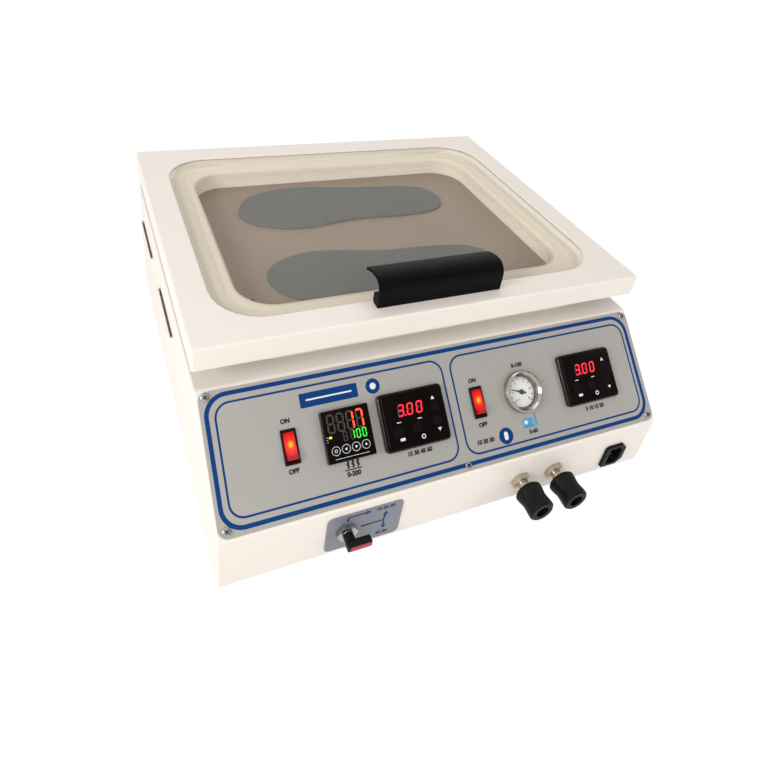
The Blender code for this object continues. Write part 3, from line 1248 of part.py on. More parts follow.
def build_valve(band, finishes):
    """Label plate, valve body with its nut and hose barbs, and the one-sided lever."""
    plate_top = CLEARANCE + VALVE_PLATE_THICKNESS
    outline = rounded_rectangle(VALVE_PLATE_WIDTH / 2, VALVE_PLATE_HEIGHT / 2, VALVE_PLATE_CORNER)
    plate = add_object("valve_plate", prism(outline, CLEARANCE, plate_top), band,
                       location=(VALVE_PLATE_X, VALVE_PLATE_Z, 0))
    neck = circle(VALVE_NECK_RADIUS + CLEARANCE, SMALL_ROUND_STEPS)
    dress(cut(plate, band_hole(band, (VALVE_X, VALVE_Z), neck)), finishes["plate"])

    place = (VALVE_X, VALVE_Z, 0)
    nut_base = plate_top + CLEARANCE
    back = -CABINET_SHEET - CLEARANCE
    rear = back - VALVE_BODY_DEPTH
    profile = [
        (0, rear - BARB_LENGTH), (BARB_RADIUS, rear - BARB_LENGTH), (BARB_RADIUS, rear),
        (VALVE_BODY_RADIUS, rear), (VALVE_BODY_RADIUS, back), (VALVE_NECK_RADIUS, back),
        (VALVE_NECK_RADIUS, nut_base + VALVE_NUT_HEIGHT), (VALVE_STEM_RADIUS, nut_base + VALVE_NUT_HEIGHT),
        (VALVE_STEM_RADIUS, VALVE_STEM_TOP), (0, VALVE_STEM_TOP),
    ]
    body = add_object("valve_body", turned(profile, SMALL_ROUND_STEPS), band, location=place)
    nut = prism(hexagon(VALVE_NUT_ACROSS), nut_base, nut_base + VALVE_NUT_HEIGHT - CLEARANCE)
    join(body, add_object("nut", nut, band, location=place))
    barb = across(prism(circle(BARB_RADIUS, SMALL_ROUND_STEPS), 0, VALVE_BODY_RADIUS + BARB_LENGTH))
    side_place = (VALVE_X, VALVE_Z, -VALVE_SIDE_BARB_DEPTH)
    join(body, add_object("side_barb", barb, band, location=side_place))
    dress(body, finishes["nickel"])

    bore = VALVE_STEM_RADIUS + CLEARANCE
    profile = [(0, LEVER_BAR_BOTTOM + LEVER_EDGE), (LEVER_HUB_RADIUS, LEVER_BAR_BOTTOM + LEVER_EDGE),
               (LEVER_HUB_RADIUS, LEVER_HUB_BOTTOM), (0, LEVER_HUB_BOTTOM)]
    half = LEVER_BAR_HEIGHT / 2
    middle = (LEVER_BAR_REACH - LEVER_BAR_BACK) / 2
    length = (LEVER_BAR_REACH + LEVER_BAR_BACK) / 2
    outer = moved(rounded_rectangle(length, half, LEVER_EDGE, SMALL_CORNER_STEPS), (middle, 0))
    inner = grown(outer, -LEVER_EDGE / 2)
    bar = loft([(inner, LEVER_BAR_BOTTOM), (outer, LEVER_BAR_BOTTOM + LEVER_EDGE),
                (outer, LEVER_BAR_TOP - LEVER_EDGE), (inner, LEVER_BAR_TOP)])
    lever = add_object("valve_lever", bar, band, location=place)
    join(lever, add_object("hub", turned(profile, SMALL_ROUND_STEPS), band, location=place))
    socket_start, socket_end = LEVER_HUB_BOTTOM - CUT_OVERRUN, VALVE_STEM_TOP + CLEARANCE
    socket = prism(circle(bore, SMALL_ROUND_STEPS), socket_start, socket_end)
    cut(lever, add_object("socket", socket, band, location=place))
    dress(lever, finishes["black_plastic"])


def sleeve_profile():
    """A coupler sleeve's closed section: two round rims, a waist between them and a stepped bore."""
    length = SLEEVE_END - SLEEVE_START
    rim = length * SLEEVE_RIM_SHARE
    middle = (SLEEVE_START + SLEEVE_END) / 2
    bore = COUPLER_TUBE_RADIUS + SLEEVE_PLAY
    return [
        (bore, SLEEVE_START), (SLEEVE_REAR_RADIUS - SLEEVE_EDGE, SLEEVE_START),
        (SLEEVE_REAR_RADIUS, SLEEVE_START + SLEEVE_EDGE), (SLEEVE_REAR_RADIUS, SLEEVE_START + rim),
        (SLEEVE_WAIST_RADIUS, middle - rim / 2), (SLEEVE_WAIST_RADIUS, middle + rim / 2),
        (SLEEVE_RIM_RADIUS, SLEEVE_END - rim), (SLEEVE_RIM_RADIUS, SLEEVE_END - SLEEVE_EDGE),
        (SLEEVE_RIM_RADIUS - SLEEVE_EDGE, SLEEVE_END), (SLEEVE_MOUTH_RADIUS, SLEEVE_END),
        (SLEEVE_MOUTH_RADIUS, SLEEVE_END - SLEEVE_MOUTH_LIP), (bore, SLEEVE_END - SLEEVE_MOUTH_LIP),
    ]


def build_couplers(band, finishes):
    """Two quick couplers: a nickel body through the band and a black sleeve that slides on it."""
    back = -CABINET_SHEET - CLEARANCE - COUPLER_THREAD_DEPTH
    bore_end = COUPLER_TUBE_END - COUPLER_BORE_DEPTH
    profile = [
        (0, back - BARB_LENGTH), (BARB_RADIUS, back - BARB_LENGTH), (BARB_RADIUS, back),
        (COUPLER_THREAD_RADIUS, back), (COUPLER_THREAD_RADIUS, CLEARANCE + COUPLER_NUT_HEIGHT),
        (COUPLER_NECK_RADIUS, CLEARANCE + COUPLER_NUT_HEIGHT), (COUPLER_NECK_RADIUS, COUPLER_TUBE_START),
        (COUPLER_TUBE_RADIUS, COUPLER_TUBE_START), (COUPLER_TUBE_RADIUS, COUPLER_TUBE_END),
        (COUPLER_BORE_RADIUS, COUPLER_TUBE_END), (COUPLER_BORE_RADIUS, bore_end), (0, bore_end),
    ]
    for name, place_x in zip(("left", "right"), COUPLER_X):
        place = (place_x, COUPLER_Z, 0)
        body = add_object("coupler_body_" + name, turned(profile, SMALL_ROUND_STEPS), band, location=place)
        nut = prism(hexagon(COUPLER_NUT_ACROSS), CLEARANCE, COUPLER_NUT_HEIGHT)
        join(body, add_object("nut", nut, band, location=place))
        dress(body, finishes["nickel"])
        sleeve = turned_ring(sleeve_profile(), SLEEVE_STEPS)
        dress(add_object("coupler_sleeve_" + name, sleeve, band, location=place), finishes["black_plastic"])


def build_inlet(band, finish):
    """Power inlet: flange, box behind the band, socket and its three blades."""
    place = (INLET_X, INLET_Z, 0)
    crown = CLEARANCE + INLET_RISE
    neck = inlet_outline(INLET_NECK_WIDTH, INLET_NECK_HEIGHT)
    flange = inlet_outline(INLET_WIDTH, INLET_HEIGHT)
    rim = grown(flange, -INLET_EDGE)
    rings = [(neck, -INLET_DEPTH), (neck, CLEARANCE), (flange, CLEARANCE),
             (flange, crown - INLET_EDGE), (rim, crown)]
    inlet = add_object("power_inlet", loft(rings), band, location=place)
    corners = (SOCKET_CHAMFER, CLEARANCE, CLEARANCE, SOCKET_CHAMFER)
    socket = chamfered(SOCKET_WIDTH / 2, SOCKET_HEIGHT / 2, corners)
    floor = crown - SOCKET_DEPTH
    cut(inlet, add_object("socket", prism(socket, floor, crown + CUT_OVERRUN), band, location=place))
    for row in (-1, 0, 1):
        centre = (BLADE_OFFSET if row else -BLADE_OFFSET, row * BLADE_PITCH)
        half = (BLADE_WIDTH / 2, BLADE_THICKNESS / 2)
        blade = block((centre[0] - half[0], centre[1] - half[1], floor - CUT_OVERRUN),
                      (centre[0] + half[0], centre[1] + half[1], floor + BLADE_LENGTH))
        join(inlet, add_object("blade", blade, band, location=place))
    dress(inlet, finish)


# Inside the cabinet


def build_pump(press, finish):
    """Small diaphragm pump: motor, head with its hose barb, cradle and bracket."""
    base = BASE_SHEET + CLEARANCE
    place = (PUMP_PLACE[0], PUMP_PLACE[1], base)
    half = (PUMP_BRACKET_LENGTH / 2, PUMP_BRACKET_WIDTH / 2)
    bracket = block((-half[0], -half[1], 0), (half[0], half[1], PUMP_BRACKET_THICKNESS))
    pump = add_object("vacuum_pump", bracket, press, location=place)
    head_x = -half[0]
    motor_x = head_x + PUMP_HEAD_LENGTH
    axis = PUMP_AXIS_HEIGHT
    head = block((head_x, -PUMP_HEAD_WIDTH / 2, PUMP_BRACKET_THICKNESS / 2),
                 (motor_x, PUMP_HEAD_WIDTH / 2, PUMP_HEAD_HEIGHT))
    motor = across(prism(circle(PUMP_MOTOR_RADIUS, SMALL_ROUND_STEPS), motor_x - CUT_OVERRUN,
                         motor_x + PUMP_MOTOR_LENGTH))
    cradle_x = motor_x + (PUMP_MOTOR_LENGTH - PUMP_CRADLE_LENGTH) / 2
    cradle = block((cradle_x, -PUMP_CRADLE_WIDTH / 2, PUMP_BRACKET_THICKNESS / 2),
                   (cradle_x + PUMP_CRADLE_LENGTH, PUMP_CRADLE_WIDTH / 2, axis))
    barb = across(prism(circle(BARB_RADIUS, SMALL_ROUND_STEPS), head_x - BARB_LENGTH, head_x + CUT_OVERRUN))
    join(pump, add_object("head", head, press, location=place))
    join(pump, add_object("motor", motor, press, location=(place[0], place[1], base + axis)))
    join(pump, add_object("cradle", cradle, press, location=place))
    join(pump, add_object("barb", barb, press, location=(place[0], place[1], base + axis)))
    dress(pump, finish)


def add_hose(name, press, ends, directions, route, finish):
    """A hose between two ends, along their directions at first and through a route between them."""
    places = [Vector(point) for point in (ends[0], *route, ends[1])]
    curve = bpy.data.curves.new(name, "CURVE")
    curve.dimensions = "3D"
    curve.bevel_depth = HOSE_RADIUS
    curve.bevel_resolution = HOSE_BEVEL_STEPS
    curve.resolution_u = HOSE_STEPS
    curve.use_fill_caps = True
    spline = curve.splines.new("BEZIER")
    spline.bezier_points.add(len(places) - 1)
    for index, (place, knot) in enumerate(zip(places, spline.bezier_points)):
        before = places[max(index - 1, 0)]
        after = places[min(index + 1, len(places) - 1)]
        tangent = (after - before).normalized()
        if index == 0:
            tangent = Vector(directions[0])
        if index == len(places) - 1:
            tangent = -Vector(directions[1])
        knot.handle_left_type = knot.handle_right_type = "FREE"
        knot.co = place
        knot.handle_left = place - tangent * max((place - before).length, HOSE_RADIUS) * HOSE_HANDLE_SHARE
        knot.handle_right = place + tangent * max((after - place).length, HOSE_RADIUS) * HOSE_HANDLE_SHARE
    hose = bpy.data.objects.new(name, curve)
    bpy.context.scene.collection.objects.link(hose)
    hose.parent = press
    curve.materials.append(finish)


def build_hoses(press, finish):
    """Pump hose from the valve's side barb to the pump, and well hose from the port to its rear barb."""
    side_x = VALVE_X + VALVE_BODY_RADIUS + BARB_LENGTH + CLEARANCE
    pump_x = PUMP_PLACE[0] - PUMP_BRACKET_LENGTH / 2 - BARB_LENGTH - CLEARANCE
    ends = ((side_x, -FRONT_REACH + VALVE_SIDE_BARB_DEPTH, VALVE_Z),
            (pump_x, PUMP_PLACE[1], BASE_SHEET + CLEARANCE + PUMP_AXIS_HEIGHT))
    add_hose("pump_hose", press, ends, ((1, 0, 0), (-1, 0, 0)), PUMP_HOSE_ROUTE, finish)
    valve_back = -FRONT_REACH + CABINET_SHEET + CLEARANCE + VALVE_BODY_DEPTH + BARB_LENGTH + CLEARANCE
    ends = ((PORT_PLACE[0], PORT_PLACE[1], PLATEN_BOTTOM - PORT_LENGTH - CLEARANCE),
            (VALVE_X, valve_back, VALVE_Z))
    add_hose("well_hose", press, ends, ((0, 0, -1), (0, 1, 0)), WELL_HOSE_ROUTE, finish)


def make_finishes():
    """The press's materials, with linear colours."""
    return {
        "white_paint": make_finish("white_paint", 0.86, 0.82, 0.78, 0.45),
        "plate": make_finish("plate", 0.53, 0.50, 0.47, 0.40, 0.3),
        "aluminium": make_finish("aluminium", 0.70, 0.70, 0.70, 0.35, 1.0),
        "zinc": make_finish("zinc", 0.55, 0.56, 0.58, 0.45, 1.0),
        "ptfe": make_finish("ptfe", 0.38, 0.30, 0.24, 0.50),
        "heater": make_finish("heater", 0.45, 0.12, 0.05, 0.60),
        "insulation": make_finish("insulation", 0.75, 0.72, 0.66, 0.90),
        "insole": make_finish("insole", 0.13, 0.14, 0.15, 0.75),
        "gasket": make_finish("gasket", 0.70, 0.66, 0.58, 0.60),
        "membrane": make_finish("membrane", 0.75, 0.70, 0.60, 0.25, 0.0, 0.35),
        "rubber": make_finish("rubber", 0.02, 0.02, 0.02, 0.80),
        "black_plastic": make_finish("black_plastic", 0.012, 0.012, 0.012, 0.40),
        "key": make_finish("key", 0.02, 0.02, 0.02, 0.50),
        "red_lens": make_finish("red_lens", 0.70, 0.02, 0.01, 0.20),
        "chrome": make_finish("chrome", 0.75, 0.75, 0.75, 0.12, 1.0),
        "nickel": make_finish("nickel", 0.66, 0.60, 0.52, 0.25, 1.0),
        "steel": make_finish("steel", 0.56, 0.56, 0.56, 0.30, 1.0),
        "dial": make_finish("dial", 0.85, 0.85, 0.83, 0.50),
        "glass": make_finish("glass", 0.90, 0.95, 0.95, 0.03, 0.0, 0.15),
        "hose": make_finish("hose", 0.55, 0.55, 0.55, 0.35),
    }


def build():
    """Builds the press."""
    for existing in list(bpy.data.objects):
        bpy.data.objects.remove(existing)
    finishes = make_finishes()
    press = add_frame("press_frame", location=(0, -(PRESS_FRONT + PRESS_BACK) / 2, FOOT_HEIGHT))
    slope_centre = (0, -(FRONT_REACH + DECK_REACH) / 2, (FRONT_HEIGHT + DECK_HEIGHT) / 2)
    panel = add_frame("panel_frame", press, location=slope_centre, tilt=SLOPE_ANGLE)
    band = add_frame("band_frame", press, location=(0, -FRONT_REACH, 0), tilt=math.pi / 2)
    lid = add_frame("lid_hinge_axis", press, location=(0, HINGE_AXIS_Y, HINGE_AXIS_Z))
    build_cabinet(press, panel, band, finishes["white_paint"])
    build_base(press, finishes["zinc"], finishes["rubber"])
    build_collar(press, finishes["white_paint"], finishes["gasket"])
    build_platen(press, finishes)
    build_insoles(press, finishes["insole"])
    build_lid(lid, finishes["white_paint"])
    build_clamp(lid, finishes["zinc"])
    build_membrane(lid, finishes["membrane"])
    build_handle(lid, finishes["black_plastic"])
    build_hinges(press, lid, finishes["steel"])
    build_plate(panel, finishes["plate"])
    build_controller(panel, finishes)
    build_timer("heat_timer", panel, HEAT_TIMER_U, finishes)
    build_timer("vacuum_timer", panel, VACUUM_TIMER_U, finishes)
    build_switch("heat_switch", panel, HEAT_SWITCH_U, finishes)
    build_switch("vacuum_switch", panel, VACUUM_SWITCH_U, finishes)
    build_gauge(panel, finishes)
    build_valve(band, finishes)
    build_couplers(band, finishes)
    build_inlet(band, finishes["black_plastic"])
    build_pump(press, finishes["zinc"])
    build_hoses(press, finishes["hose"])


build()
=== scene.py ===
"""Insole heat press, dressed on its shared frame for the closing render.

The solids come from the frame. This script gives them their finishes, puts fuller forms in place of the soft
ones, and adds what is printed, lit or screwed on: the panel's lines and labels, the displays, the gauge's
scale, the valve plate's arrows, the plate screws.

Metres, +Z up, +Y from the control panel towards the hinges, +X to the right of someone who faces the panel.
What is drawn on a face is given in millimetres.
"""

import logging
import math
from dataclasses import dataclass, replace
from enum import Enum
from typing import Iterable, Sequence

import bmesh
import bpy
from mathutils import Euler, Matrix, Vector


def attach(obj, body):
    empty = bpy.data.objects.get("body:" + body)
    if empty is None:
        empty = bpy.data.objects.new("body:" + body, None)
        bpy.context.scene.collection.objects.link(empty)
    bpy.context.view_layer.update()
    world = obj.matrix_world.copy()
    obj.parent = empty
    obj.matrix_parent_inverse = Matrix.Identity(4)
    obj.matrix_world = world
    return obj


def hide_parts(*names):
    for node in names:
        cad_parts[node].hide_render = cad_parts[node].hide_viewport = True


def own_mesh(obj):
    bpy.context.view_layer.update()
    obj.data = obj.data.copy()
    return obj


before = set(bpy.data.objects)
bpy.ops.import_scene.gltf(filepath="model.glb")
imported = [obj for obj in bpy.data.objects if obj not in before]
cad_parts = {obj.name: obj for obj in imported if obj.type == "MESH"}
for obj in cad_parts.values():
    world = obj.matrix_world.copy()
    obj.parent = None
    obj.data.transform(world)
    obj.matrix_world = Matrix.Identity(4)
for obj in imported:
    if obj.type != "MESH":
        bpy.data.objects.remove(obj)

LOG = logging.getLogger("insole_press")
MM = 0.001

Point2 = tuple[float, float]
Point3 = tuple[float, float, float]
Outline = Sequence[Point2]
Piece = bpy.types.Object
Socket = bpy.types.NodeSocket

QUARTER = math.pi / 2
# The steepest bend between two facets of a round form.
ROUND_BEND = math.radians(35)
# How far a print's underside lies inside its face, so that no gap shows.
SUNK = 0.02 * MM

# Radii of the solids' edges: keys, stamped plates, turned parts, folded sheet, moulded cases.
KEY_EDGE = 0.1 * MM
PLATE_EDGE = 0.15 * MM
TURNED_EDGE = 0.2 * MM
SHEET_EDGE = 0.25 * MM
MOULDED_EDGE = 0.3 * MM


# Colour, shader nodes and finishes


def linear(colour: str) -> tuple[float, float, float, float]:
    """Turns an sRGB hex value into a linear colour.

    Args:
        colour: Six hex digits after a hash sign.

    Returns:
        Red, green, blue and alpha.
    """
    channels = [int(colour[index:index + 2], 16) / 255 for index in (1, 3, 5)]
    bright = [((c + 0.055) / 1.055) ** 2.4 if c > 0.04045 else c / 12.92 for c in channels]
    return (bright[0], bright[1], bright[2], 1.0)


def plug(node: bpy.types.Node, inputs: dict) -> None:
    """Sets or links a node's inputs.

    Args:
        node: The node.
        inputs: A value, or an output socket to link from, for each input by name or number.
    """
    for name, value in inputs.items():
        if isinstance(value, Socket):
            node.id_data.links.new(value, node.inputs[name])
        else:
            node.inputs[name].default_value = value


def add_node(tree: bpy.types.NodeTree, kind: str, inputs: dict | None = None,
             **settings: object) -> bpy.types.Node:
    """Adds a node with its settings, values and links.

    Args:
        tree: The nodes that it joins.
        kind: The node's type name.
        inputs: A value, or an output socket to link from, for each input by name or number.
        **settings: Properties of the node itself.

    Returns:
        The new node.
    """
    node = tree.nodes.new(kind)
    for name, value in settings.items():
        setattr(node, name, value)
    plug(node, inputs or {})
    return node


def start_material(name: str) -> tuple[bpy.types.Material, bpy.types.NodeTree, Socket]:
    """Starts a finish's material.

    Args:
        name: The finish's name.

    Returns:
        The material, its nodes, and the output that gives the place on the piece in metres.
    """
    material = bpy.data.materials.new("finish_" + name)
    material.use_nodes = True
    tree = material.node_tree
    return material, tree, add_node(tree, "ShaderNodeTexCoord").outputs["Object"]


class Grain(Enum):
    """How a surface was made, as the pattern that it left."""

    PEEL = "soft dimples of sprayed or baked paint"
    SPARK = "the fine stipple of a spark-eroded mould"
    BRUSH = "long parallel scratches"
    WEAVE = "crossed threads"
    CELLS = "closed cells of a foam, or crystals of a plated sheet"
    CLOUD = "slow drifts of tone in a cast or blown sheet"


@dataclass(frozen=True)
class Finish:
    """A surface by what it is made of and how, with its pattern at a real size.

    Attributes:
        name: The material's name.
        colour: Its colour, as an sRGB hex value.
        second: The colour that the pattern drifts towards.
        grain: The pattern.
        size: The pattern's real size in metres.
        relief: The pattern's height in metres.
        drift: How far the pattern moves the colour towards the second one.
        roughness: The roughness at the middle of the pattern.
        spread: How far the pattern moves the roughness up and down.
        metallic: 1 for a bare metal.
        alpha: Less than 1 where what is behind shows through.
        glow: Strength of the light that it gives off in its own colour.
        ior: Index of refraction, where it isn't that of most plastics.
        shine: Level of the surface's own reflection; 0.5 is what its index alone gives.
    """

    name: str
    colour: str
    second: str
    grain: Grain
    size: float
    relief: float
    drift: float = 0.3
    roughness: float = 0.5
    spread: float = 0.08
    metallic: float = 0.0
    alpha: float = 1.0
    glow: float = 0.0
    ior: float = 1.5
    shine: float = 0.5

    # How many times longer than wide a scratch is.
    SCRATCH_RATIO = 60
    # Scale of the wave texture that gives it one thread to a metre.
    ONE_THREAD = 0.159
    # How much fine detail each noise has.
    DETAIL = {Grain.PEEL: 1.5, Grain.SPARK: 6.0, Grain.CLOUD: 4.0}
    # Handling and dust: drifts over a hand's breadth, so 11 to a metre.
    HAND_SCALE = 11.0
    # What the pattern and the drifts add up to, at their lowest and highest.
    ENDS = {"From Min": 0.6, "From Max": 1.4}
    # No surface is smoother than this.
    SMOOTHEST = 0.02

    def pattern(self, tree: bpy.types.NodeTree, place: Socket) -> Socket:
        """Draws the pattern.

        Args:
            tree: The material's nodes.
            place: Where on the piece, in metres.

        Returns:
            The pattern's height, from 0 to 1.
        """
        scale = 1 / self.size
        if self.grain is Grain.BRUSH:
            stretch = (scale / self.SCRATCH_RATIO, scale, scale)
            drawn = add_node(tree, "ShaderNodeMapping", {"Vector": place, "Scale": stretch}).outputs[0]
            lines = {"Vector": drawn, "Scale": 1.0, "Detail": 3.0}
            return add_node(tree, "ShaderNodeTexNoise", lines).outputs[0]
        if self.grain is Grain.WEAVE:
            wave = {"Vector": place, "Scale": scale * self.ONE_THREAD, "Distortion": 0.6, "Detail Scale": 2.0}
            threads = [add_node(tree, "ShaderNodeTexWave", wave, bands_direction=axis).outputs["Fac"]
                       for axis in ("X", "Y")]
            return add_node(tree, "ShaderNodeMath", dict(enumerate(threads)), operation="MULTIPLY").outputs[0]
        if self.grain is Grain.CELLS:
            cells = {"Vector": place, "Scale": scale, "Randomness": 1.0}
            return add_node(tree, "ShaderNodeTexVoronoi", cells).outputs["Distance"]
        noise = {"Vector": place, "Scale": scale, "Detail": self.DETAIL[self.grain], "Roughness": 0.55}
        return add_node(tree, "ShaderNodeTexNoise", noise).outputs[0]

    def material(self) -> bpy.types.Material:
        """Makes the material, or finds it where it was made before."""
        found = bpy.data.materials.get("finish_" + self.name)
        if found:
            return found
        material, tree, place = start_material(self.name)
        height = self.pattern(tree, place)
        hand = add_node(tree, "ShaderNodeTexNoise",
                        {"Vector": place, "Scale": self.HAND_SCALE, "Detail": 3.0}).outputs[0]
        both = add_node(tree, "ShaderNodeMath", {0: height, 1: hand}, operation="ADD").outputs[0]
        low, high = max(self.roughness - self.spread, self.SMOOTHEST), min(self.roughness + self.spread, 1.0)
        ends = {"Value": both, **self.ENDS}
        share, rough = [
            add_node(tree, "ShaderNodeMapRange", {**ends, "To Min": start, "To Max": end}).outputs[0]
            for start, end in ((0.0, self.drift), (low, high))]
        tone = add_node(tree, "ShaderNodeMix", {0: share, 6: linear(self.colour), 7: linear(self.second)},
                        data_type="RGBA").outputs[2]
        bump = add_node(tree, "ShaderNodeBump", {"Height": height, "Strength": 1.0, "Distance": self.relief})
        shader = tree.nodes["Principled BSDF"]
        plug(shader, {"Base Color": tone, "Roughness": rough, "Normal": bump.outputs[0],
                      "Metallic": self.metallic, "Alpha": self.alpha})
        if not self.metallic:
            plug(shader, {"IOR": self.ior, "Specular IOR Level": self.shine})
        if self.glow:
            plug(shader, {"Emission Color": tone, "Emission Strength": self.glow})
        return material


@dataclass(frozen=True)
class LitLens:
    """Red polycarbonate rocker with a neon lamp behind it: a hot yellow spot that falls off to deep red.

    Attributes:
        name: The material's name.
        spot: The lamp's place, in metres.
        reach: How far its glow carries along the lens.
        narrower: How much faster the glow falls off across the lens than along it.
        ripples: Moulded ripples to a metre.
        stray: How far the ripples move the glow, as a share of its reach.
    """

    name: str
    spot: Point3
    reach: float = 14 * MM
    narrower: float = 1.25
    ripples: float = 520.0
    stray: float = 0.22

    STOPS = ((0.12, "#ffe24a"), (0.26, "#ffa01c"), (0.42, "#fb3a1c"), (0.72, "#e01824"), (1.0, "#8a0a12"))

    def material(self) -> bpy.types.Material:
        """Makes the material."""
        material, tree, place = start_material(self.name)
        away = add_node(tree, "ShaderNodeVectorMath", {0: place, 1: self.spot}, operation="SUBTRACT").outputs[0]
        shaped = add_node(tree, "ShaderNodeVectorMath", {0: away, 1: (self.narrower, 1.0, 1.0)},
                          operation="MULTIPLY").outputs[0]
        length = add_node(tree, "ShaderNodeVectorMath", {0: shaped}, operation="LENGTH").outputs["Value"]
        ripple = add_node(tree, "ShaderNodeTexNoise",
                          {"Vector": place, "Scale": self.ripples, "Detail": 2.0}).outputs[0]
        broken = add_node(tree, "ShaderNodeMath", {0: ripple, 1: self.reach * self.stray, 2: length},
                          operation="MULTIPLY_ADD").outputs[0]
        share = add_node(tree, "ShaderNodeMath", {0: broken, 1: self.reach}, operation="DIVIDE").outputs[0]
        ramp = add_node(tree, "ShaderNodeValToRGB", {"Fac": share})
        elements = ramp.color_ramp.elements
        for element, (position, colour) in zip(elements, (self.STOPS[0], self.STOPS[-1])):
            element.position = position
            element.color = linear(colour)
        for position, colour in self.STOPS[1:-1]:
            elements.new(position).color = linear(colour)
        bump = add_node(tree, "ShaderNodeBump", {"Height": ripple, "Strength": 0.4, "Distance": 0.05 * MM})
        plug(tree.nodes["Principled BSDF"], {
            "Base Color": linear("#5c060c"), "Emission Color": ramp.outputs[0], "Emission Strength": 1.0,
            "Normal": bump.outputs[0], "Specular IOR Level": 0.35, "Roughness": 0.2, "IOR": 1.58})
        return material


@dataclass(frozen=True)
class DrawnSheet:
    """Silicone sheet: clear over the floor, milky where it is stretched between the clamp and the wall's foot.

    Attributes:
        name: The material's name.
        colour: The stretched sheet's colour.
        low: Height up to which it is clear.
        high: Height from which it is milky.
        clear: Opacity below.
        milky: Opacity above.
        waves: Slow waves of its surface to a metre.
    """

    name: str
    colour: str
    low: float
    high: float
    clear: float
    milky: float
    waves: float = 26.0

    def material(self) -> bpy.types.Material:
        """Makes the material."""
        material, tree, place = start_material(self.name)
        height = add_node(tree, "ShaderNodeSeparateXYZ", {0: place}).outputs["Z"]
        ramp = {"Value": height, "From Min": self.low, "From Max": self.high, "To Min": self.clear,
                "To Max": self.milky}
        opacity = add_node(tree, "ShaderNodeMapRange", ramp, interpolation_type="SMOOTHSTEP").outputs[0]
        drift = add_node(tree, "ShaderNodeTexNoise",
                         {"Vector": place, "Scale": self.waves, "Detail": 3.0}).outputs[0]
        rough = add_node(tree, "ShaderNodeMapRange",
                         {"Value": drift, "To Min": 0.22, "To Max": 0.40}).outputs[0]
        bump = add_node(tree, "ShaderNodeBump", {"Height": drift, "Strength": 1.0, "Distance": 0.03 * MM})
        plug(tree.nodes["Principled BSDF"], {
            "Base Color": linear(self.colour), "Alpha": opacity, "Roughness": rough, "Normal": bump.outputs[0],
            "IOR": 1.41, "Specular IOR Level": 0.3})
        return material


# Polyester powder coat baked on folded sheet: warm white, satin, with a faint orange peel.
POWDER_COAT = Finish("baked_powder_coat", "#f3eae0", "#e8ddd2", Grain.PEEL, 1.6 * MM, 0.008 * MM,
                     drift=0.2, roughness=0.42, spread=0.06)
# Anodised aluminium with a matt printed ground: grey, a hair of brushing left under it.
PANEL_PLATE = Finish("anodised_panel_plate", "#b1ada7", "#a5a19c", Grain.BRUSH, 0.5 * MM, 0.004 * MM,
                     drift=0.5, roughness=0.46, spread=0.06, metallic=0.25)
# The same plate by the valve, printed in a cooler grey.
VALVE_PLATE = Finish("anodised_valve_plate", "#85858e", "#7a7a85", Grain.BRUSH, 0.5 * MM, 0.004 * MM,
                     drift=0.5, roughness=0.48, spread=0.06, metallic=0.2)
# Screen-printed inks: a thin satin film whose edge catches a little light.
BLUE_INK = Finish("screen_ink_blue", "#0a3c78", "#08346a", Grain.SPARK, 0.9 * MM, 0.004 * MM,
                  roughness=0.42, spread=0.05, shine=0.12)
# The black ink also paints shade: the slab in each screw recess and the ring at the gauge dial's edge.
BLACK_INK_AND_PAINTED_SHADE = Finish("screen_ink_black_and_painted_shade", "#1c1b1c", "#2a292a", Grain.SPARK, 0.9 * MM, 0.004 * MM,
                   roughness=0.5, spread=0.05, shine=0.3)
WHITE_INK = Finish("screen_ink_white", "#e8e8ea", "#d4d4d8", Grain.SPARK, 0.7 * MM, 0.004 * MM,
                   roughness=0.45, spread=0.05)
NAVY_INK = Finish("screen_ink_navy", "#1c2c66", "#172454", Grain.SPARK, 0.9 * MM, 0.004 * MM,
                  roughness=0.42, spread=0.05, shine=0.2)
CYAN_INK = Finish("screen_ink_cyan", "#55a0c4", "#3d86ac", Grain.SPARK, 0.9 * MM, 0.004 * MM,
                  roughness=0.40, spread=0.05)
# Injection-moulded ABS, black: satin, with the stipple of a spark-eroded mould.
BLACK_ABS = Finish("moulded_black_abs", "#0a0a0b", "#131313", Grain.SPARK, 0.35 * MM, 0.018 * MM,
                   drift=0.6, roughness=0.45, spread=0.10, ior=1.54, shine=0.12)
# Extruded pull, black PVC-coated aluminium: fine lines along the extrusion and a soft sheen on its crown.
BLACK_EXTRUSION = Finish("extruded_black_pull", "#080808", "#100f0f", Grain.BRUSH, 0.6 * MM, 0.010 * MM,
                         drift=0.6, roughness=0.46, spread=0.08, shine=0.06)
# Smoked polycarbonate window of a display: near black and glossy.
SMOKED_WINDOW = Finish("smoked_window", "#0e0809", "#1a0f10", Grain.CLOUD, 22 * MM, 0.0,
                       drift=0.5, roughness=0.16, spread=0.05, ior=1.58, shine=0.2)
# Silicone keypad: matt black.
KEYPAD = Finish("silicone_keypad", "#0b0a0b", "#141314", Grain.SPARK, 0.3 * MM, 0.010 * MM,
                roughness=0.5, spread=0.08, ior=1.41, shine=0.12)
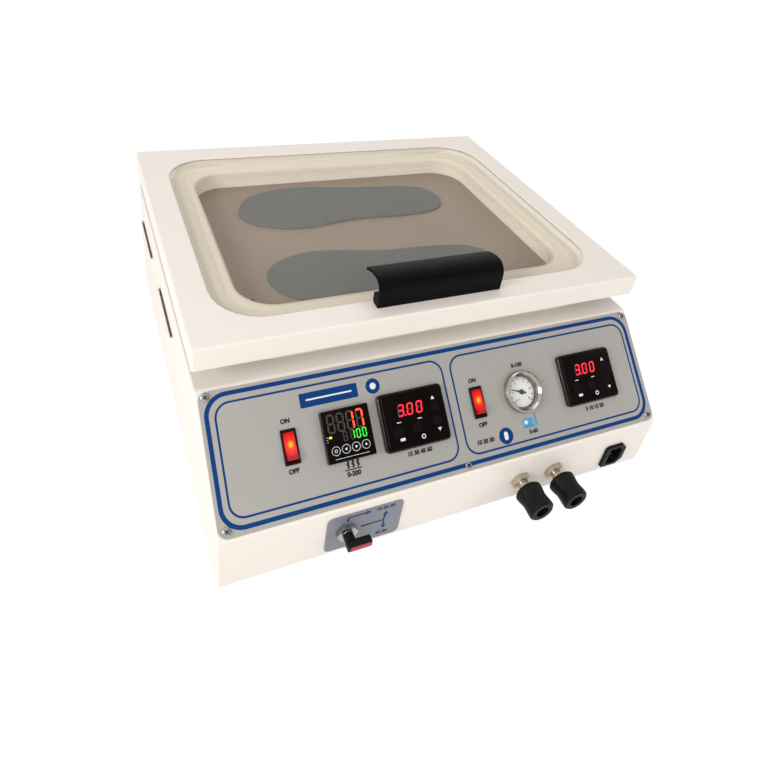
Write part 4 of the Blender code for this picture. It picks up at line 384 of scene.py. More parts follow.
# Light-emitting segments behind the window, and those that are dark.
LED_ORANGE = Finish("led_orange_red", "#ff6a3c", "#ff2e1e", Grain.CLOUD, 4 * MM, 0.0,
                    drift=0.9, roughness=0.4, glow=0.95)
LED_RED = Finish("led_red", "#ff3040", "#f01430", Grain.CLOUD, 3 * MM, 0.0,
                 drift=0.9, roughness=0.4, glow=0.9)
LED_GREEN = Finish("led_green", "#3ee83a", "#18c81e", Grain.CLOUD, 3 * MM, 0.0,
                   drift=0.9, roughness=0.4, glow=0.85)
LED_YELLOW = Finish("led_yellow", "#ffe23c", "#ffb81e", Grain.CLOUD, 3 * MM, 0.0,
                    drift=0.6, roughness=0.4, glow=0.95)
# The dark segments' grey also paints the highlight line down each timer's bezel.
LED_OFF_AND_PAINTED_HIGHLIGHT = Finish("led_dark_and_painted_highlight", "#47423b", "#37332e", Grain.CLOUD, 4 * MM, 0.0,
                 drift=0.8, roughness=0.5, shine=0.25)
# Chrome plate on turned brass: a mirror with faint turning lines. Its colour is darkened and warmed and drifts
# towards a darker tone, as painted dark reflections of the surroundings.
CHROME = Finish("chrome_with_painted_reflections", "#b3aca4", "#8d867d", Grain.CLOUD, 9 * MM, 0.0015 * MM,
                drift=0.5, roughness=0.16, spread=0.05, metallic=1.0)
# Nickel plate on brass fittings: warmer and softer than chrome.
NICKEL = Finish("nickel_plate", "#d0c6b6", "#aca08e", Grain.CLOUD, 5 * MM, 0.004 * MM,
                drift=0.7, roughness=0.24, spread=0.08, metallic=1.0)
# Bright steel of the screws, the hinges and the valve's body.
STEEL = Finish("bright_steel", "#b9b8b6", "#9b9a98", Grain.BRUSH, 0.25 * MM, 0.004 * MM,
               drift=0.6, roughness=0.27, spread=0.08, metallic=1.0)
# Zinc-plated sheet: cloudy crystals about a centimetre across.
ZINC = Finish("zinc_plated_sheet", "#a9acb0", "#8f9398", Grain.CELLS, 9 * MM, 0.004 * MM,
              drift=0.7, roughness=0.42, spread=0.10, metallic=1.0)
# Flat bar of the membrane's clamp, under a thin grey stoving paint.
CLAMP_PAINT = Finish("stoved_grey_paint", "#8f877c", "#7d766c", Grain.PEEL, 1.4 * MM, 0.01 * MM,
                     drift=0.5, roughness=0.5, spread=0.06, shine=0.3)
# Milled aluminium platen: the cutter's lines, drawn as coarse as they need to show.
MILLED = Finish("milled_aluminium", "#b9b9b9", "#a2a2a3", Grain.BRUSH, 0.8 * MM, 0.006 * MM,
                drift=0.5, roughness=0.34, spread=0.08, metallic=1.0)
# PTFE-coated glass cloth: tan, with threads about a millimetre apart.
GLASS_CLOTH = Finish("coated_glass_cloth", "#8d7a69", "#776556", Grain.WEAVE, 1.0 * MM, 0.05 * MM,
                     drift=0.8, roughness=0.45, spread=0.10, ior=1.38)
# Closed-cell foam of the blanks: dark blue-grey, matt, with cells a little under a millimetre, as coarse as
# they need to show.
EVA_FOAM = Finish("moulded_eva_foam", "#50565a", "#42484c", Grain.CELLS, 0.9 * MM, 0.05 * MM,
                  drift=0.7, roughness=0.85, spread=0.08)
# Calendered silicone sheet: milky at the rim, where it is stretched, and clear over the floor.
SILICONE_SHEET = DrawnSheet("calendered_silicone_sheet", "#e4dac8", 0.1800, 0.1990, 0.08, 0.62)
# Silicone sponge of the rim gasket: cream, matt.
SPONGE = Finish("silicone_sponge", "#ebe3d6", "#dcd3c3", Grain.CELLS, 0.8 * MM, 0.06 * MM,
                drift=0.6, roughness=0.7, spread=0.08, ior=1.41)
# Silicone-rubber heater mat: brick red, with the press cloth's weave in it.
HEATER_MAT = Finish("heater_mat_rubber", "#9c3a22", "#82301c", Grain.WEAVE, 0.9 * MM, 0.04 * MM,
                    drift=0.7, roughness=0.6, ior=1.41)
# Mineral fibre board under the heater.
FIBRE_BOARD = Finish("mineral_fibre_board", "#d9d2c3", "#c4bba8", Grain.CELLS, 1.6 * MM, 0.15 * MM,
                     drift=0.8, roughness=0.9)
# Moulded rubber feet.
FOOT_RUBBER = Finish("moulded_rubber", "#1d1d1d", "#2a2a29", Grain.SPARK, 0.5 * MM, 0.02 * MM,
                     roughness=0.8, ior=1.52)
# Silicone hose inside the cabinet: milky.
HOSE = Finish("extruded_silicone_hose", "#cfcbc2", "#bab5aa", Grain.CLOUD, 14 * MM, 0.02 * MM,
              drift=0.6, roughness=0.35, ior=1.41)
# Printed paper dial under glass.
DIAL_CARD = Finish("printed_dial", "#eceae6", "#dedbd5", Grain.SPARK, 0.4 * MM, 0.004 * MM, roughness=0.5)
# Float glass of the gauge.
LENS_GLASS = Finish("gauge_glass", "#f4f8f8", "#e8eeee", Grain.CLOUD, 20 * MM, 0.0,
                    roughness=0.03, spread=0.01, alpha=0.04, ior=1.52, shine=0.25)
# The lever's red cap, a glossy vinyl inlay.
RED_CAP = Finish("vinyl_red_cap", "#a82a32", "#8c1f28", Grain.SPARK, 0.6 * MM, 0.012 * MM,
                 drift=0.5, roughness=0.35)


# Pieces: picking, opening, shaping and dressing them


def deselect() -> None:
    """Clears the selection, so that an operator acts only on what is picked next."""
    if bpy.context.object and bpy.context.object.mode != "OBJECT":
        bpy.ops.object.mode_set(mode="OBJECT")
    bpy.ops.object.select_all(action="DESELECT")


def pick(*pieces: Piece) -> None:
    """Selects pieces, the first as the active one."""
    deselect()
    for piece in pieces:
        piece.select_set(True)
    bpy.context.view_layer.objects.active = pieces[0]


def edit(piece: Piece) -> None:
    """Opens a piece in edit mode with all of it selected."""
    pick(piece)
    bpy.ops.object.mode_set(mode="EDIT")
    bpy.ops.mesh.select_all(action="SELECT")


def close(piece: Piece) -> Piece:
    """Turns all faces of the open piece outwards and leaves edit mode."""
    bpy.ops.mesh.select_all(action="SELECT")
    bpy.ops.mesh.normals_make_consistent(inside=False)
    bpy.ops.object.mode_set(mode="OBJECT")
    return piece


def named(name: str) -> Piece:
    """Names the piece that an operator has just added, and opens it in edit mode."""
    piece = bpy.context.object
    piece.name = name
    piece.data.name = name
    edit(piece)
    return piece


def add_object(name: str, data: bpy.types.ID) -> Piece:
    """Puts a mesh, curve, lamp or camera into the scene."""
    piece = bpy.data.objects.new(name, data)
    bpy.context.scene.collection.objects.link(piece)
    return piece


def lay_sheet(name: str, size: Point2, corner: float, place: Point3, steps: int) -> Piece:
    """Lays down a flat sheet with round corners and leaves it open, all selected.

    Args:
        name: The piece's name.
        size: Width and height.
        corner: Corner radius, or 0.
        place: Its middle in the drawing.
        steps: Facets in each corner.

    Returns:
        The open piece.
    """
    deselect()
    bpy.ops.mesh.primitive_plane_add(size=1.0)
    piece = named(name)
    bpy.ops.transform.resize(value=(*size, 1.0))
    if corner:
        bpy.ops.mesh.bevel(offset=corner, segments=steps, affect="VERTICES")
        bpy.ops.mesh.select_all(action="SELECT")
    bpy.ops.transform.translate(value=place)
    return piece


def keep_rim(line: float) -> None:
    """Removes the middle of the open sheet and keeps a line along its edge."""
    bpy.ops.mesh.inset(thickness=line)
    bpy.ops.mesh.delete(type="FACE")
    bpy.ops.mesh.select_all(action="SELECT")


def pull_up(piece: Piece, thick: float, rim: float = 0.0) -> Piece:
    """Pulls the open sheet up, and eases its upper rim.

    Args:
        piece: The open piece.
        thick: Thickness.
        rim: Radius of its upper rim, or 0.

    Returns:
        The finished piece.
    """
    bpy.ops.mesh.extrude_region_move(TRANSFORM_OT_translate={"value": (0, 0, thick)})
    if rim:
        bpy.ops.mesh.bevel(offset=rim, segments=3, affect="EDGES")
    return close(piece)


def add_slab(name: str, size: Point2, corner: float, place: Point3, thick: float,
             rim: float = 0.0, steps: int = 6) -> Piece:
    """Models a plate with round corners.

    Args:
        name: The piece's name.
        size: Width and height.
        corner: Corner radius, or 0.
        place: The middle of its underside in the drawing.
        thick: Thickness.
        rim: Radius of its upper rim, or 0.
        steps: Facets in each corner.

    Returns:
        The piece, in the drawing.
    """
    return pull_up(lay_sheet(name, size, corner, place, steps), thick, rim)


def add_disc(name: str, radius: float, place: Point3, thick: float, steps: int = 32,
             hole: float = 0.0, turn: float = 0.0, rim: float = 0.0) -> Piece:
    """Models a disc, a washer or, with three steps, an arrow's head.

    Args:
        name: The piece's name.
        radius: Outer radius.
        place: The middle of its underside in the drawing.
        thick: Thickness.
        steps: Sides.
        hole: Radius of its hole, or 0.
        turn: Angle of its first corner from the drawing's X axis.
        rim: Radius of its upper rim, or 0.

    Returns:
        The piece, in the drawing.
    """
    deselect()
    bpy.ops.mesh.primitive_circle_add(vertices=steps, radius=radius, fill_type="NGON")
    piece = named(name)
    bpy.ops.object.mode_set(mode="OBJECT")
    piece.data.transform(Matrix.Translation(place) @ Matrix.Rotation(turn - QUARTER, 4, "Z"))
    edit(piece)
    if hole:
        keep_rim((radius - hole) * math.cos(math.pi / steps))
    return pull_up(piece, thick, rim)


def add_words(name: str, words: str, height: float, place: Point3, thick: float) -> Piece:
    """Sets numbers or a plain word in a sans-serif letter.

    Args:
        name: The piece's name.
        words: What it says.
        height: Height of its capitals.
        place: The middle of its underside in the drawing.
        thick: Thickness.

    Returns:
        The piece, in the drawing.
    """
    deselect()
    bpy.ops.object.text_add()
    piece = bpy.context.object
    piece.name = name
    text = piece.data
    text.body = words
    text.align_x = text.align_y = "CENTER"
    text.offset = 0.06
    text.extrude = 0.1
    text.resolution_u = 4
    deep = 2 * text.extrude
    bpy.ops.object.convert(target="MESH")
    levels = [vert.co.y for vert in piece.data.vertices]
    top, foot = max(levels), min(levels)
    scale = height / (top - foot)
    piece.data.transform(Matrix.Translation((place[0], place[1], place[2] + thick / 2))
                         @ Matrix.Diagonal((scale, scale, thick / deep, 1.0))
                         @ Matrix.Translation((0, -(top + foot) / 2, 0)))
    edit(piece)
    bpy.ops.mesh.remove_doubles(threshold=0.001 * MM)
    return close(piece)


def add_stroke(name: str, points: Outline, width: float, base: float, thick: float,
               smooth: bool = True) -> Piece:
    """Models a printed line through points.

    Args:
        name: The piece's name.
        points: What it passes through in the drawing.
        width: The line's width.
        base: Height of its underside.
        thick: Thickness.
        smooth: True for a curve, False for straight runs.

    Returns:
        The piece, in the drawing.
    """
    deselect()
    curve = bpy.data.curves.new(name, "CURVE")
    curve.dimensions = "3D"
    curve.bevel_depth = 0.5
    curve.bevel_resolution = 2
    curve.use_fill_caps = True
    spline = curve.splines.new("NURBS" if smooth else "POLY")
    spline.points.add(len(points) - 1)
    for knot, (x, y) in zip(spline.points, points):
        knot.co = (x / width, y / width, 0, 1)
    if smooth:
        spline.order_u = 3
        spline.use_endpoint_u = True
    piece = add_object(name, curve)
    pick(piece)
    bpy.ops.object.convert(target="MESH")
    piece.data.transform(Matrix.Translation((0, 0, base + thick / 2))
                         @ Matrix.Diagonal((width, width, thick, 1.0)))
    edit(piece)
    bpy.ops.mesh.remove_doubles(threshold=0.0005 * MM)
    return close(piece)


def copies(piece: Piece, moves: Iterable[Matrix]) -> Piece:
    """Repeats a modelled piece at other places, each with its own mesh, and joins them.

    Args:
        piece: The piece that was modelled once.
        moves: Where each copy goes.

    Returns:
        One piece with all the copies; it takes the modelled one's name.
    """
    made = []
    for move in moves:
        mesh = piece.data.copy()
        mesh.transform(move)
        made.append(add_object(piece.name, mesh))
    name = piece.name
    bpy.data.objects.remove(piece)
    return joined(name, *made)


def joined(name: str, *pieces: Piece) -> Piece:
    """Joins pieces of one finish into one."""
    pick(*pieces)
    if len(pieces) > 1:
        bpy.ops.object.join()
    pieces[0].name = name
    return pieces[0]


def carve(piece: Piece, tool: Piece) -> None:
    """Cuts a tool out of a piece and removes the tool."""
    pick(piece)
    cut = piece.modifiers.new("carve", "BOOLEAN")
    cut.operation = "DIFFERENCE"
    cut.solver = "EXACT"
    cut.object = tool
    bpy.ops.object.modifier_apply(modifier=cut.name)
    bpy.data.objects.remove(tool)


def settle(piece: Piece, finish: Finish | DrawnSheet, body: str, smooth: bool = True) -> Piece:
    """Dresses a finished piece and lets it ride on its body.

    Args:
        piece: The piece, in its place.
        finish: Its finish.
        body: The body that it rides on.
        smooth: True to shade its round faces smooth.

    Returns:
        The piece.
    """
    piece.data.materials.clear()
    piece.data.materials.append(finish.material())
    pick(piece)
    if smooth:
        bpy.ops.object.shade_smooth_by_angle(angle=ROUND_BEND)
    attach(piece, body)
    LOG.info("%s: %s on %s", piece.name, finish.name, body)
    return piece


def rounding() -> bpy.types.NodeTree:
    """Makes the nodes that shade a solid's facets round and keep its real edges, or finds them."""
    found = bpy.data.node_groups.get("rounding")
    if found:
        return found
    tree = bpy.data.node_groups.new("rounding", "GeometryNodeTree")
    for way in ("INPUT", "OUTPUT"):
        tree.interface.new_socket("Geometry", in_out=way, socket_type="NodeSocketGeometry")
    solid = add_node(tree, "NodeGroupInput").outputs[0]
    bend = add_node(tree, "GeometryNodeInputMeshEdgeAngle").outputs[0]
    sharp = add_node(tree, "FunctionNodeCompare", {0: bend, 1: ROUND_BEND}, operation="GREATER_THAN").outputs[0]
    smooth = add_node(tree, "GeometryNodeSetShadeSmooth", {"Geometry": solid, "Shade Smooth": True}).outputs[0]
    edged = add_node(tree, "GeometryNodeSetShadeSmooth",
                     {"Geometry": smooth, "Selection": sharp, "Shade Smooth": False}, domain="EDGE").outputs[0]
    add_node(tree, "NodeGroupOutput", {0: edged})
    return tree


def add_modifier(piece: Piece, name: str, kind: str, **settings: object) -> None:
    """Adds a live modifier with its settings."""
    modifier = piece.modifiers.new(name, kind)
    for setting, value in settings.items():
        setattr(modifier, setting, value)


def dress(names: Iterable[str], finish: Finish | LitLens, ease: float = 0.0) -> None:
    """Gives nodes of the frame their finish, and eases their edges.

    Args:
        names: The nodes.
        finish: Their finish.
        ease: Radius of their eased edges, or 0.
    """
    material = finish.material()
    for name in names:
        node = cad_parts[name]
        node.data.materials.clear()
        node.data.materials.append(material)
        add_modifier(node, "weld", "WELD", merge_threshold=0.002 * MM)
        if ease:
            add_modifier(node, "planar", "DECIMATE", decimate_type="DISSOLVE", angle_limit=math.radians(0.5),
                         delimit={"SHARP"})
            add_modifier(node, "ease", "BEVEL", width=ease, segments=2, limit_method="ANGLE",
                         angle_limit=math.radians(28), harden_normals=False)
        add_modifier(node, "rounding", "NODES", node_group=rounding())
        add_modifier(node, "normals", "WEIGHTED_NORMAL", keep_sharp=True, weight=80)
        LOG.info("%s: %s", name, finish.name)


# Flat faces, and what is drawn on them


@dataclass(frozen=True)
class Face:
    """A flat face of the press that things are drawn on, lying down, before they are carried to it.

    Attributes:
        origin: The drawing's origin on the press.
        across: The direction of the drawing's X axis.
        upward: The direction of its Y axis.
    """

    origin: Point3
    across: Point3
    upward: Point3

    def matrix(self) -> Matrix:
        """The turn and shift from the drawing to the press."""
        x_axis = Vector(self.across).normalized()
        y_axis = Vector(self.upward).normalized()
        turn = Matrix((x_axis, y_axis, x_axis.cross(y_axis))).transposed().to_4x4()
        return Matrix.Translation(self.origin) @ turn

    def point(self, across: float, upward: float, height: float) -> Point3:
        """A point of the drawing, on the press."""
        return tuple(self.matrix() @ Vector((across, upward, height)))

    def carry(self, piece: Piece) -> Piece:
        """Moves a drawn piece's mesh to its place, and leaves its object at the origin."""
        piece.data.transform(self.matrix())
        piece.data.update()
        return piece


PANEL = Face((0.0, -0.18190, 0.11615), (1, 0, 0), (0, 0.74004, 0.67256))
BAND = Face((0.0, -0.23015, 0.008), (1, 0, 0), (0, 0, 1))
PLATE_TOP = 1.5 * MM


@dataclass(frozen=True)
class Drawing:
    """What is printed or laid on one face. Its shapes are given in millimetres from the drawing's middle.

    Attributes:
        face: The face that it is drawn on.
        slot: The record's material slot that it belongs to; not used.
        base: Height of its underside over the face.
        thick: Its thickness.
        middle: Place of its middle across the face, in metres.
    """

    face: Face
    slot: str
    base: float
    thick: float
    middle: float = 0.0

    def over(self) -> "Drawing":
        """The same drawing, lying on this one at half its thickness."""
        return replace(self, base=self.base + self.thick, thick=self.thick / 2)

    def raised(self, rise: float) -> "Drawing":
        """The same drawing, higher by a distance in metres."""
        return replace(self, base=self.base + rise)

    def spot(self, place: Point2) -> Point3:
        """A place of the drawing, in metres, at its underside."""
        return (place[0] * MM, place[1] * MM, self.base)

    def slab(self, name: str, size: Point2, corner: float, place: Point2, steps: int = 6) -> Piece:
        """A plate with round corners."""
        sides = (size[0] * MM, size[1] * MM)
        return add_slab(name, sides, corner * MM, self.spot(place), self.thick, steps=steps)

    def box(self, name: str, sides: Point2, levels: Point2, corner: float, line: float) -> Piece:
        """Models a line that runs round a rounded box.

        Args:
            name: The piece's name.
            sides: Where the line's centre runs at the left and the right.
            levels: Where it runs at the top and the bottom.
            corner: Corner radius of the line's centre.
            line: The line's width.

        Returns:
            The line, in the drawing.
        """
        size = ((sides[1] - sides[0] + line) * MM, (levels[0] - levels[1] + line) * MM)
        place = self.spot((sum(sides) / 2, sum(levels) / 2))
        piece = lay_sheet(name, size, (corner + line / 2) * MM, place, 12)
        keep_rim(line * MM)
        return pull_up(piece, self.thick)

    def disc(self, name: str, radius: float, place: Point2, steps: int, hole: float = 0.0,
             turn: float = 0.0) -> Piece:
        """A disc, a ring or, with three steps, an arrow's head."""
        return add_disc(name, radius * MM, self.spot(place), self.thick, steps, hole * MM, turn)

    def words(self, name: str, words: str, height: float, place: Point2) -> Piece:
        """Numbers or a plain word."""
        return add_words(name, words, height * MM, self.spot(place), self.thick)

    def stroke(self, name: str, points: Outline, width: float, smooth: bool = True) -> Piece:
        """A line through points."""
        places = [self.spot(point)[:2] for point in points]
        return add_stroke(name, places, width * MM, self.base, self.thick, smooth)

    def lay(self, piece: Piece, finish: Finish, body: str = "cabinet") -> None:
        """Carries a shape to the face and dresses it.

        Args:
            piece: The shape.
            finish: Its finish.
            body: The body that it rides on.
        """
        piece.data.transform(Matrix.Translation((self.middle, 0, 0)))
        settle(self.face.carry(piece), finish, body, smooth=False)


# Outlines that the soft pieces share


def round_corners(half_x: float, half_y: float, radius: float, centre: Point2, steps: int = 12) -> list[Point2]:
    """Outline of a rounded rectangle, anticlockwise.

    Args:
        half_x: Half its width.
        half_y: Half its depth.
        radius: Corner radius.
        centre: Its middle.
        steps: Facets in each corner.

    Returns:
        Its points.
    """
    points = []
    for quarter, (side_x, side_y) in enumerate(((1, 1), (-1, 1), (-1, -1), (1, -1))):
        for step in range(steps + 1):
            angle = (quarter + step / steps) * QUARTER
            points.append((centre[0] + side_x * (half_x - radius) + radius * math.cos(angle),
                           centre[1] + side_y * (half_y - radius) + radius * math.sin(angle)))
    return points


def grown(outline: Outline, distance: float) -> list[Point2]:
    """An outline with each point moved outwards along the curve's normal.

    Args:
        outline: An anticlockwise outline.
        distance: How far; negative moves inwards.

    Returns:
        The moved points.
    """
    points = []
    for index, (x, y) in enumerate(outline):
        before, after = outline[index - 1], outline[(index + 1) % len(outline)]
        tangent = Vector((after[0] - before[0], after[1] - before[1])).normalized()
        points.append((x + tangent.y * distance, y - tangent.x * distance))
    return points


def skin(shape: bmesh.types.BMesh, rings: Sequence[tuple[Outline, float]]) -> list[list[bmesh.types.BMVert]]:
    """Adds a row of points for each ring and skins the rows.

    Args:
        shape: The mesh that they are added to.
        rings: Outlines with equally many points, each with its height.

    Returns:
        The rows of points.
    """
    rows = [[shape.verts.new((x, y, height)) for x, y in outline] for outline, height in rings]
    for lower, upper in zip(rows, rows[1:]):
        for index, vert in enumerate(lower):
            following = (index + 1) % len(lower)
            shape.faces.new((vert, lower[following], upper[following], upper[index]))
    return rows


def loop_of(shape: bmesh.types.BMesh, row: Sequence[bmesh.types.BMVert]) -> list[bmesh.types.BMEdge]:
    """The edges round a row of points, made where they are missing."""
    edges = []
    for index, vert in enumerate(row):
        following = row[(index + 1) % len(row)]
        edges.append(shape.edges.get((vert, following)) or shape.edges.new((vert, following)))
    return edges


def as_piece(name: str, shape: bmesh.types.BMesh) -> Piece:
    """Turns a mesh into a piece, with its faces outwards."""
    bmesh.ops.recalc_face_normals(shape, faces=shape.faces)
    mesh = bpy.data.meshes.new(name)
    shape.to_mesh(mesh)
    shape.free()
    return add_object(name, mesh)


@dataclass(frozen=True)
class Blank:
    """One insole blank's outline where it lies on the platen.

    Attributes:
        place: Its middle, measured as part of the press.
        turn: How far it is turned.
        mirrored: True for the left foot's.
        length: Toe to heel.
        width: The width that the outline's shares are taken of.
    """

    place: Point2
    turn: float
    mirrored: bool
    length: float = 0.279
    width: float = 0.100

    SHARES = (
        (0.000, 0.00), (0.036, 0.26), (0.100, 0.41), (0.190, 0.51), (0.293, 0.55), (0.400, 0.53),
        (0.500, 0.48), (0.600, 0.44), (0.700, 0.41), (0.800, 0.385), (0.900, 0.34), (0.965, 0.24),
        (1.000, 0.00), (0.970, -0.23), (0.900, -0.345), (0.800, -0.385), (0.670, -0.385), (0.560, -0.37),
        (0.450, -0.385), (0.340, -0.435), (0.250, -0.455), (0.180, -0.435), (0.100, -0.36), (0.030, -0.22),
    )

    def outline(self, steps: int = 132) -> list[Point2]:
        """The blank's outline, anticlockwise: a smooth curve through the shares.

        Args:
            steps: How many points.

        Returns:
            Its points on the press.
        """
        points = []
        count = len(self.SHARES)
        side = -1 if self.mirrored else 1
        for step in range(steps):
            first, share = divmod(count * step / steps, 1)
            p0, p1, p2, p3 = (Vector(self.SHARES[(int(first) + k) % count]) for k in (-1, 0, 1, 2))
            along, over = 0.5 * (2 * p1 + (p2 - p0) * share + (2 * p0 - 5 * p1 + 4 * p2 - p3) * share ** 2
                                 + (3 * p1 - p0 - 3 * p2 + p3) * share ** 3)
            x, y = (along - 0.5) * self.length, over * self.width * side
            points.append((self.place[0] + x * math.cos(self.turn) - y * math.sin(self.turn),
                           self.place[1] + x * math.sin(self.turn) + y * math.cos(self.turn)))
        if not self.mirrored:
            points.reverse()
        return points


REAR_BLANK = Blank((-0.007, 0.13230), 0.0, False)
FRONT_BLANK = Blank((-0.009, -0.01740), math.radians(-4.2), True)
WELL_MIDDLE = (0.0, 0.06385)


# The cabinet and what it holds


@dataclass(frozen=True)
class Cabinet:
    """Folded shell, base, feet, the raised collar round the well, and the heated stack in it."""

    def build(self) -> None:
        """Dresses them."""
        dress(["body_shell", "well_surround"], POWDER_COAT, SHEET_EDGE)
        dress(["base_plate", "insulation_tray"], ZINC)
        dress([f"foot_{end}_{side}" for end in ("front", "rear") for side in ("left", "right")], FOOT_RUBBER,
              MOULDED_EDGE)
        dress(["platen"], MILLED)
        dress(["ptfe_sheet"], GLASS_CLOTH)
        dress(["heater_mat"], HEATER_MAT)
        dress(["insulation_board"], FIBRE_BOARD)
        dress(["vacuum_pump"], BLACK_ABS, MOULDED_EDGE)


@dataclass(frozen=True)
class Gasket:
    """Silicone sponge strip on the collar, with round shoulders."""

    half: Point2 = (0.214, 0.161)
    corner: float = 0.044
    width: float = 12 * MM
    bottom: float = 0.1971
    top: float = 0.1987

    # One shoulder of its section: millimetres in from the side, and share of its height.
    SHOULDER = ((0.3, 0.0), (0.0, 0.3), (0.25, 0.75), (1.1, 1.0))

    def ring(self, inward: float) -> list[Point2]:
        """The strip's outline at a distance inside its outer edge."""
        return round_corners(self.half[0] - inward, self.half[1] - inward, self.corner - inward, WELL_MIDDLE)

    def build(self) -> None:
        """Builds the strip's closed section right round."""
        high = self.top - self.bottom
        section = [(inward * MM, self.bottom + share * high) for inward, share in self.SHOULDER]
        section += [(self.width - inward, height) for inward, height in reversed(section)]
        rings = [(self.ring(inward), height) for inward, height in section]
        shape = bmesh.new()
        skin(shape, [*rings, rings[0]])
        bmesh.ops.remove_doubles(shape, verts=shape.verts, dist=0.001 * MM)
        piece = settle(as_piece("gasket_strip", shape), SPONGE, "cabinet")
        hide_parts("rim_gasket")


@dataclass(frozen=True)
class Blanks:
    """The pair of foam blanks on the release sheet, with cut edges gone soft in the heat."""

    bottom: float = 0.1764

    # The section from the lower edge to the top: millimetres outside the outline, and over the bottom.
    SECTION = ((-0.5, 0.0), (-0.1, 0.5), (0.0, 1.2), (-0.1, 2.0), (-0.5, 2.6), (-1.2, 2.9), (-2.6, 3.0),
               (-9.0, 2.9), (-16.0, 2.85))

    def build(self) -> None:
        """Builds both blanks."""
        for blank, node in ((FRONT_BLANK, "insole_front"), (REAR_BLANK, "insole_rear")):
            outline = blank.outline()
            shape = bmesh.new()
            rows = skin(shape, [(grown(outline, out * MM), self.bottom + rise * MM)
                                for out, rise in self.SECTION])
            for row in (rows[0], rows[-1]):
                bmesh.ops.triangle_fill(shape, use_beauty=True, edges=loop_of(shape, row))
            piece = settle(as_piece(node + "_foam", shape), EVA_FOAM, "cabinet")
            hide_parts(node)


@dataclass(frozen=True)
class Hoses:
    """Silicone hoses inside the cabinet, between the pump, the valve and the well's port.

    Attributes:
        radius: Outer radius.
        pull: Length of a knot's handle, as a share of the way to the next knot.
    """

    radius: float = 4 * MM
    pull: float = 0.36

    # Where each passes, and the ways that it leaves and arrives.
    ROUTES = {
        "pump_hose": (((-0.1067, -0.21015, 0.0395), (-0.050, -0.17265, 0.0370), (-0.010, -0.07265, 0.0350),
                       (0.0227, 0.03735, 0.0438)), (1, 0, 0), (1, 0, 0)),
        "well_hose": (((-0.172, -0.03765, 0.1227), (-0.155, -0.08765, 0.0640), (-0.128, -0.18605, 0.0395)),
                      (0, 0, -1), (0, -1, 0)),
    }

    def build(self) -> None:
        """Bends both hoses as curves and makes them meshes."""
        for name, (places, start, end) in self.ROUTES.items():
            curve = bpy.data.curves.new(name + "_tube", "CURVE")
            curve.dimensions = "3D"
            curve.bevel_depth = self.radius
            curve.bevel_resolution = 6
            curve.resolution_u = 18
            curve.use_fill_caps = True
            spline = curve.splines.new("BEZIER")
            spline.bezier_points.add(len(places) - 1)
            points = [Vector(place) for place in places]
            ends = {0: Vector(start), len(points) - 1: Vector(end)}
            for index, (place, knot) in enumerate(zip(points, spline.bezier_points)):
                before, after = points[max(index - 1, 0)], points[min(index + 1, len(points) - 1)]
                tangent = ends.get(index, (after - before).normalized())
                knot.handle_left_type = knot.handle_right_type = "FREE"
                knot.co = place
                knot.handle_left = place - tangent * max((place - before).length, self.radius) * self.pull
                knot.handle_right = place + tangent * max((after - place).length, self.radius) * self.pull
            piece = add_object(name + "_tube", curve)
            pick(piece)
            bpy.ops.object.convert(target="MESH")
            settle(piece, HOSE, "cabinet")
            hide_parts(name)


# The control plate and its print


@dataclass(frozen=True)
class Screw:
    """A pan-head screw with a cross recess, by the place, radius and turn of its head."""

    place: Point2
    radius: float
    turn: float


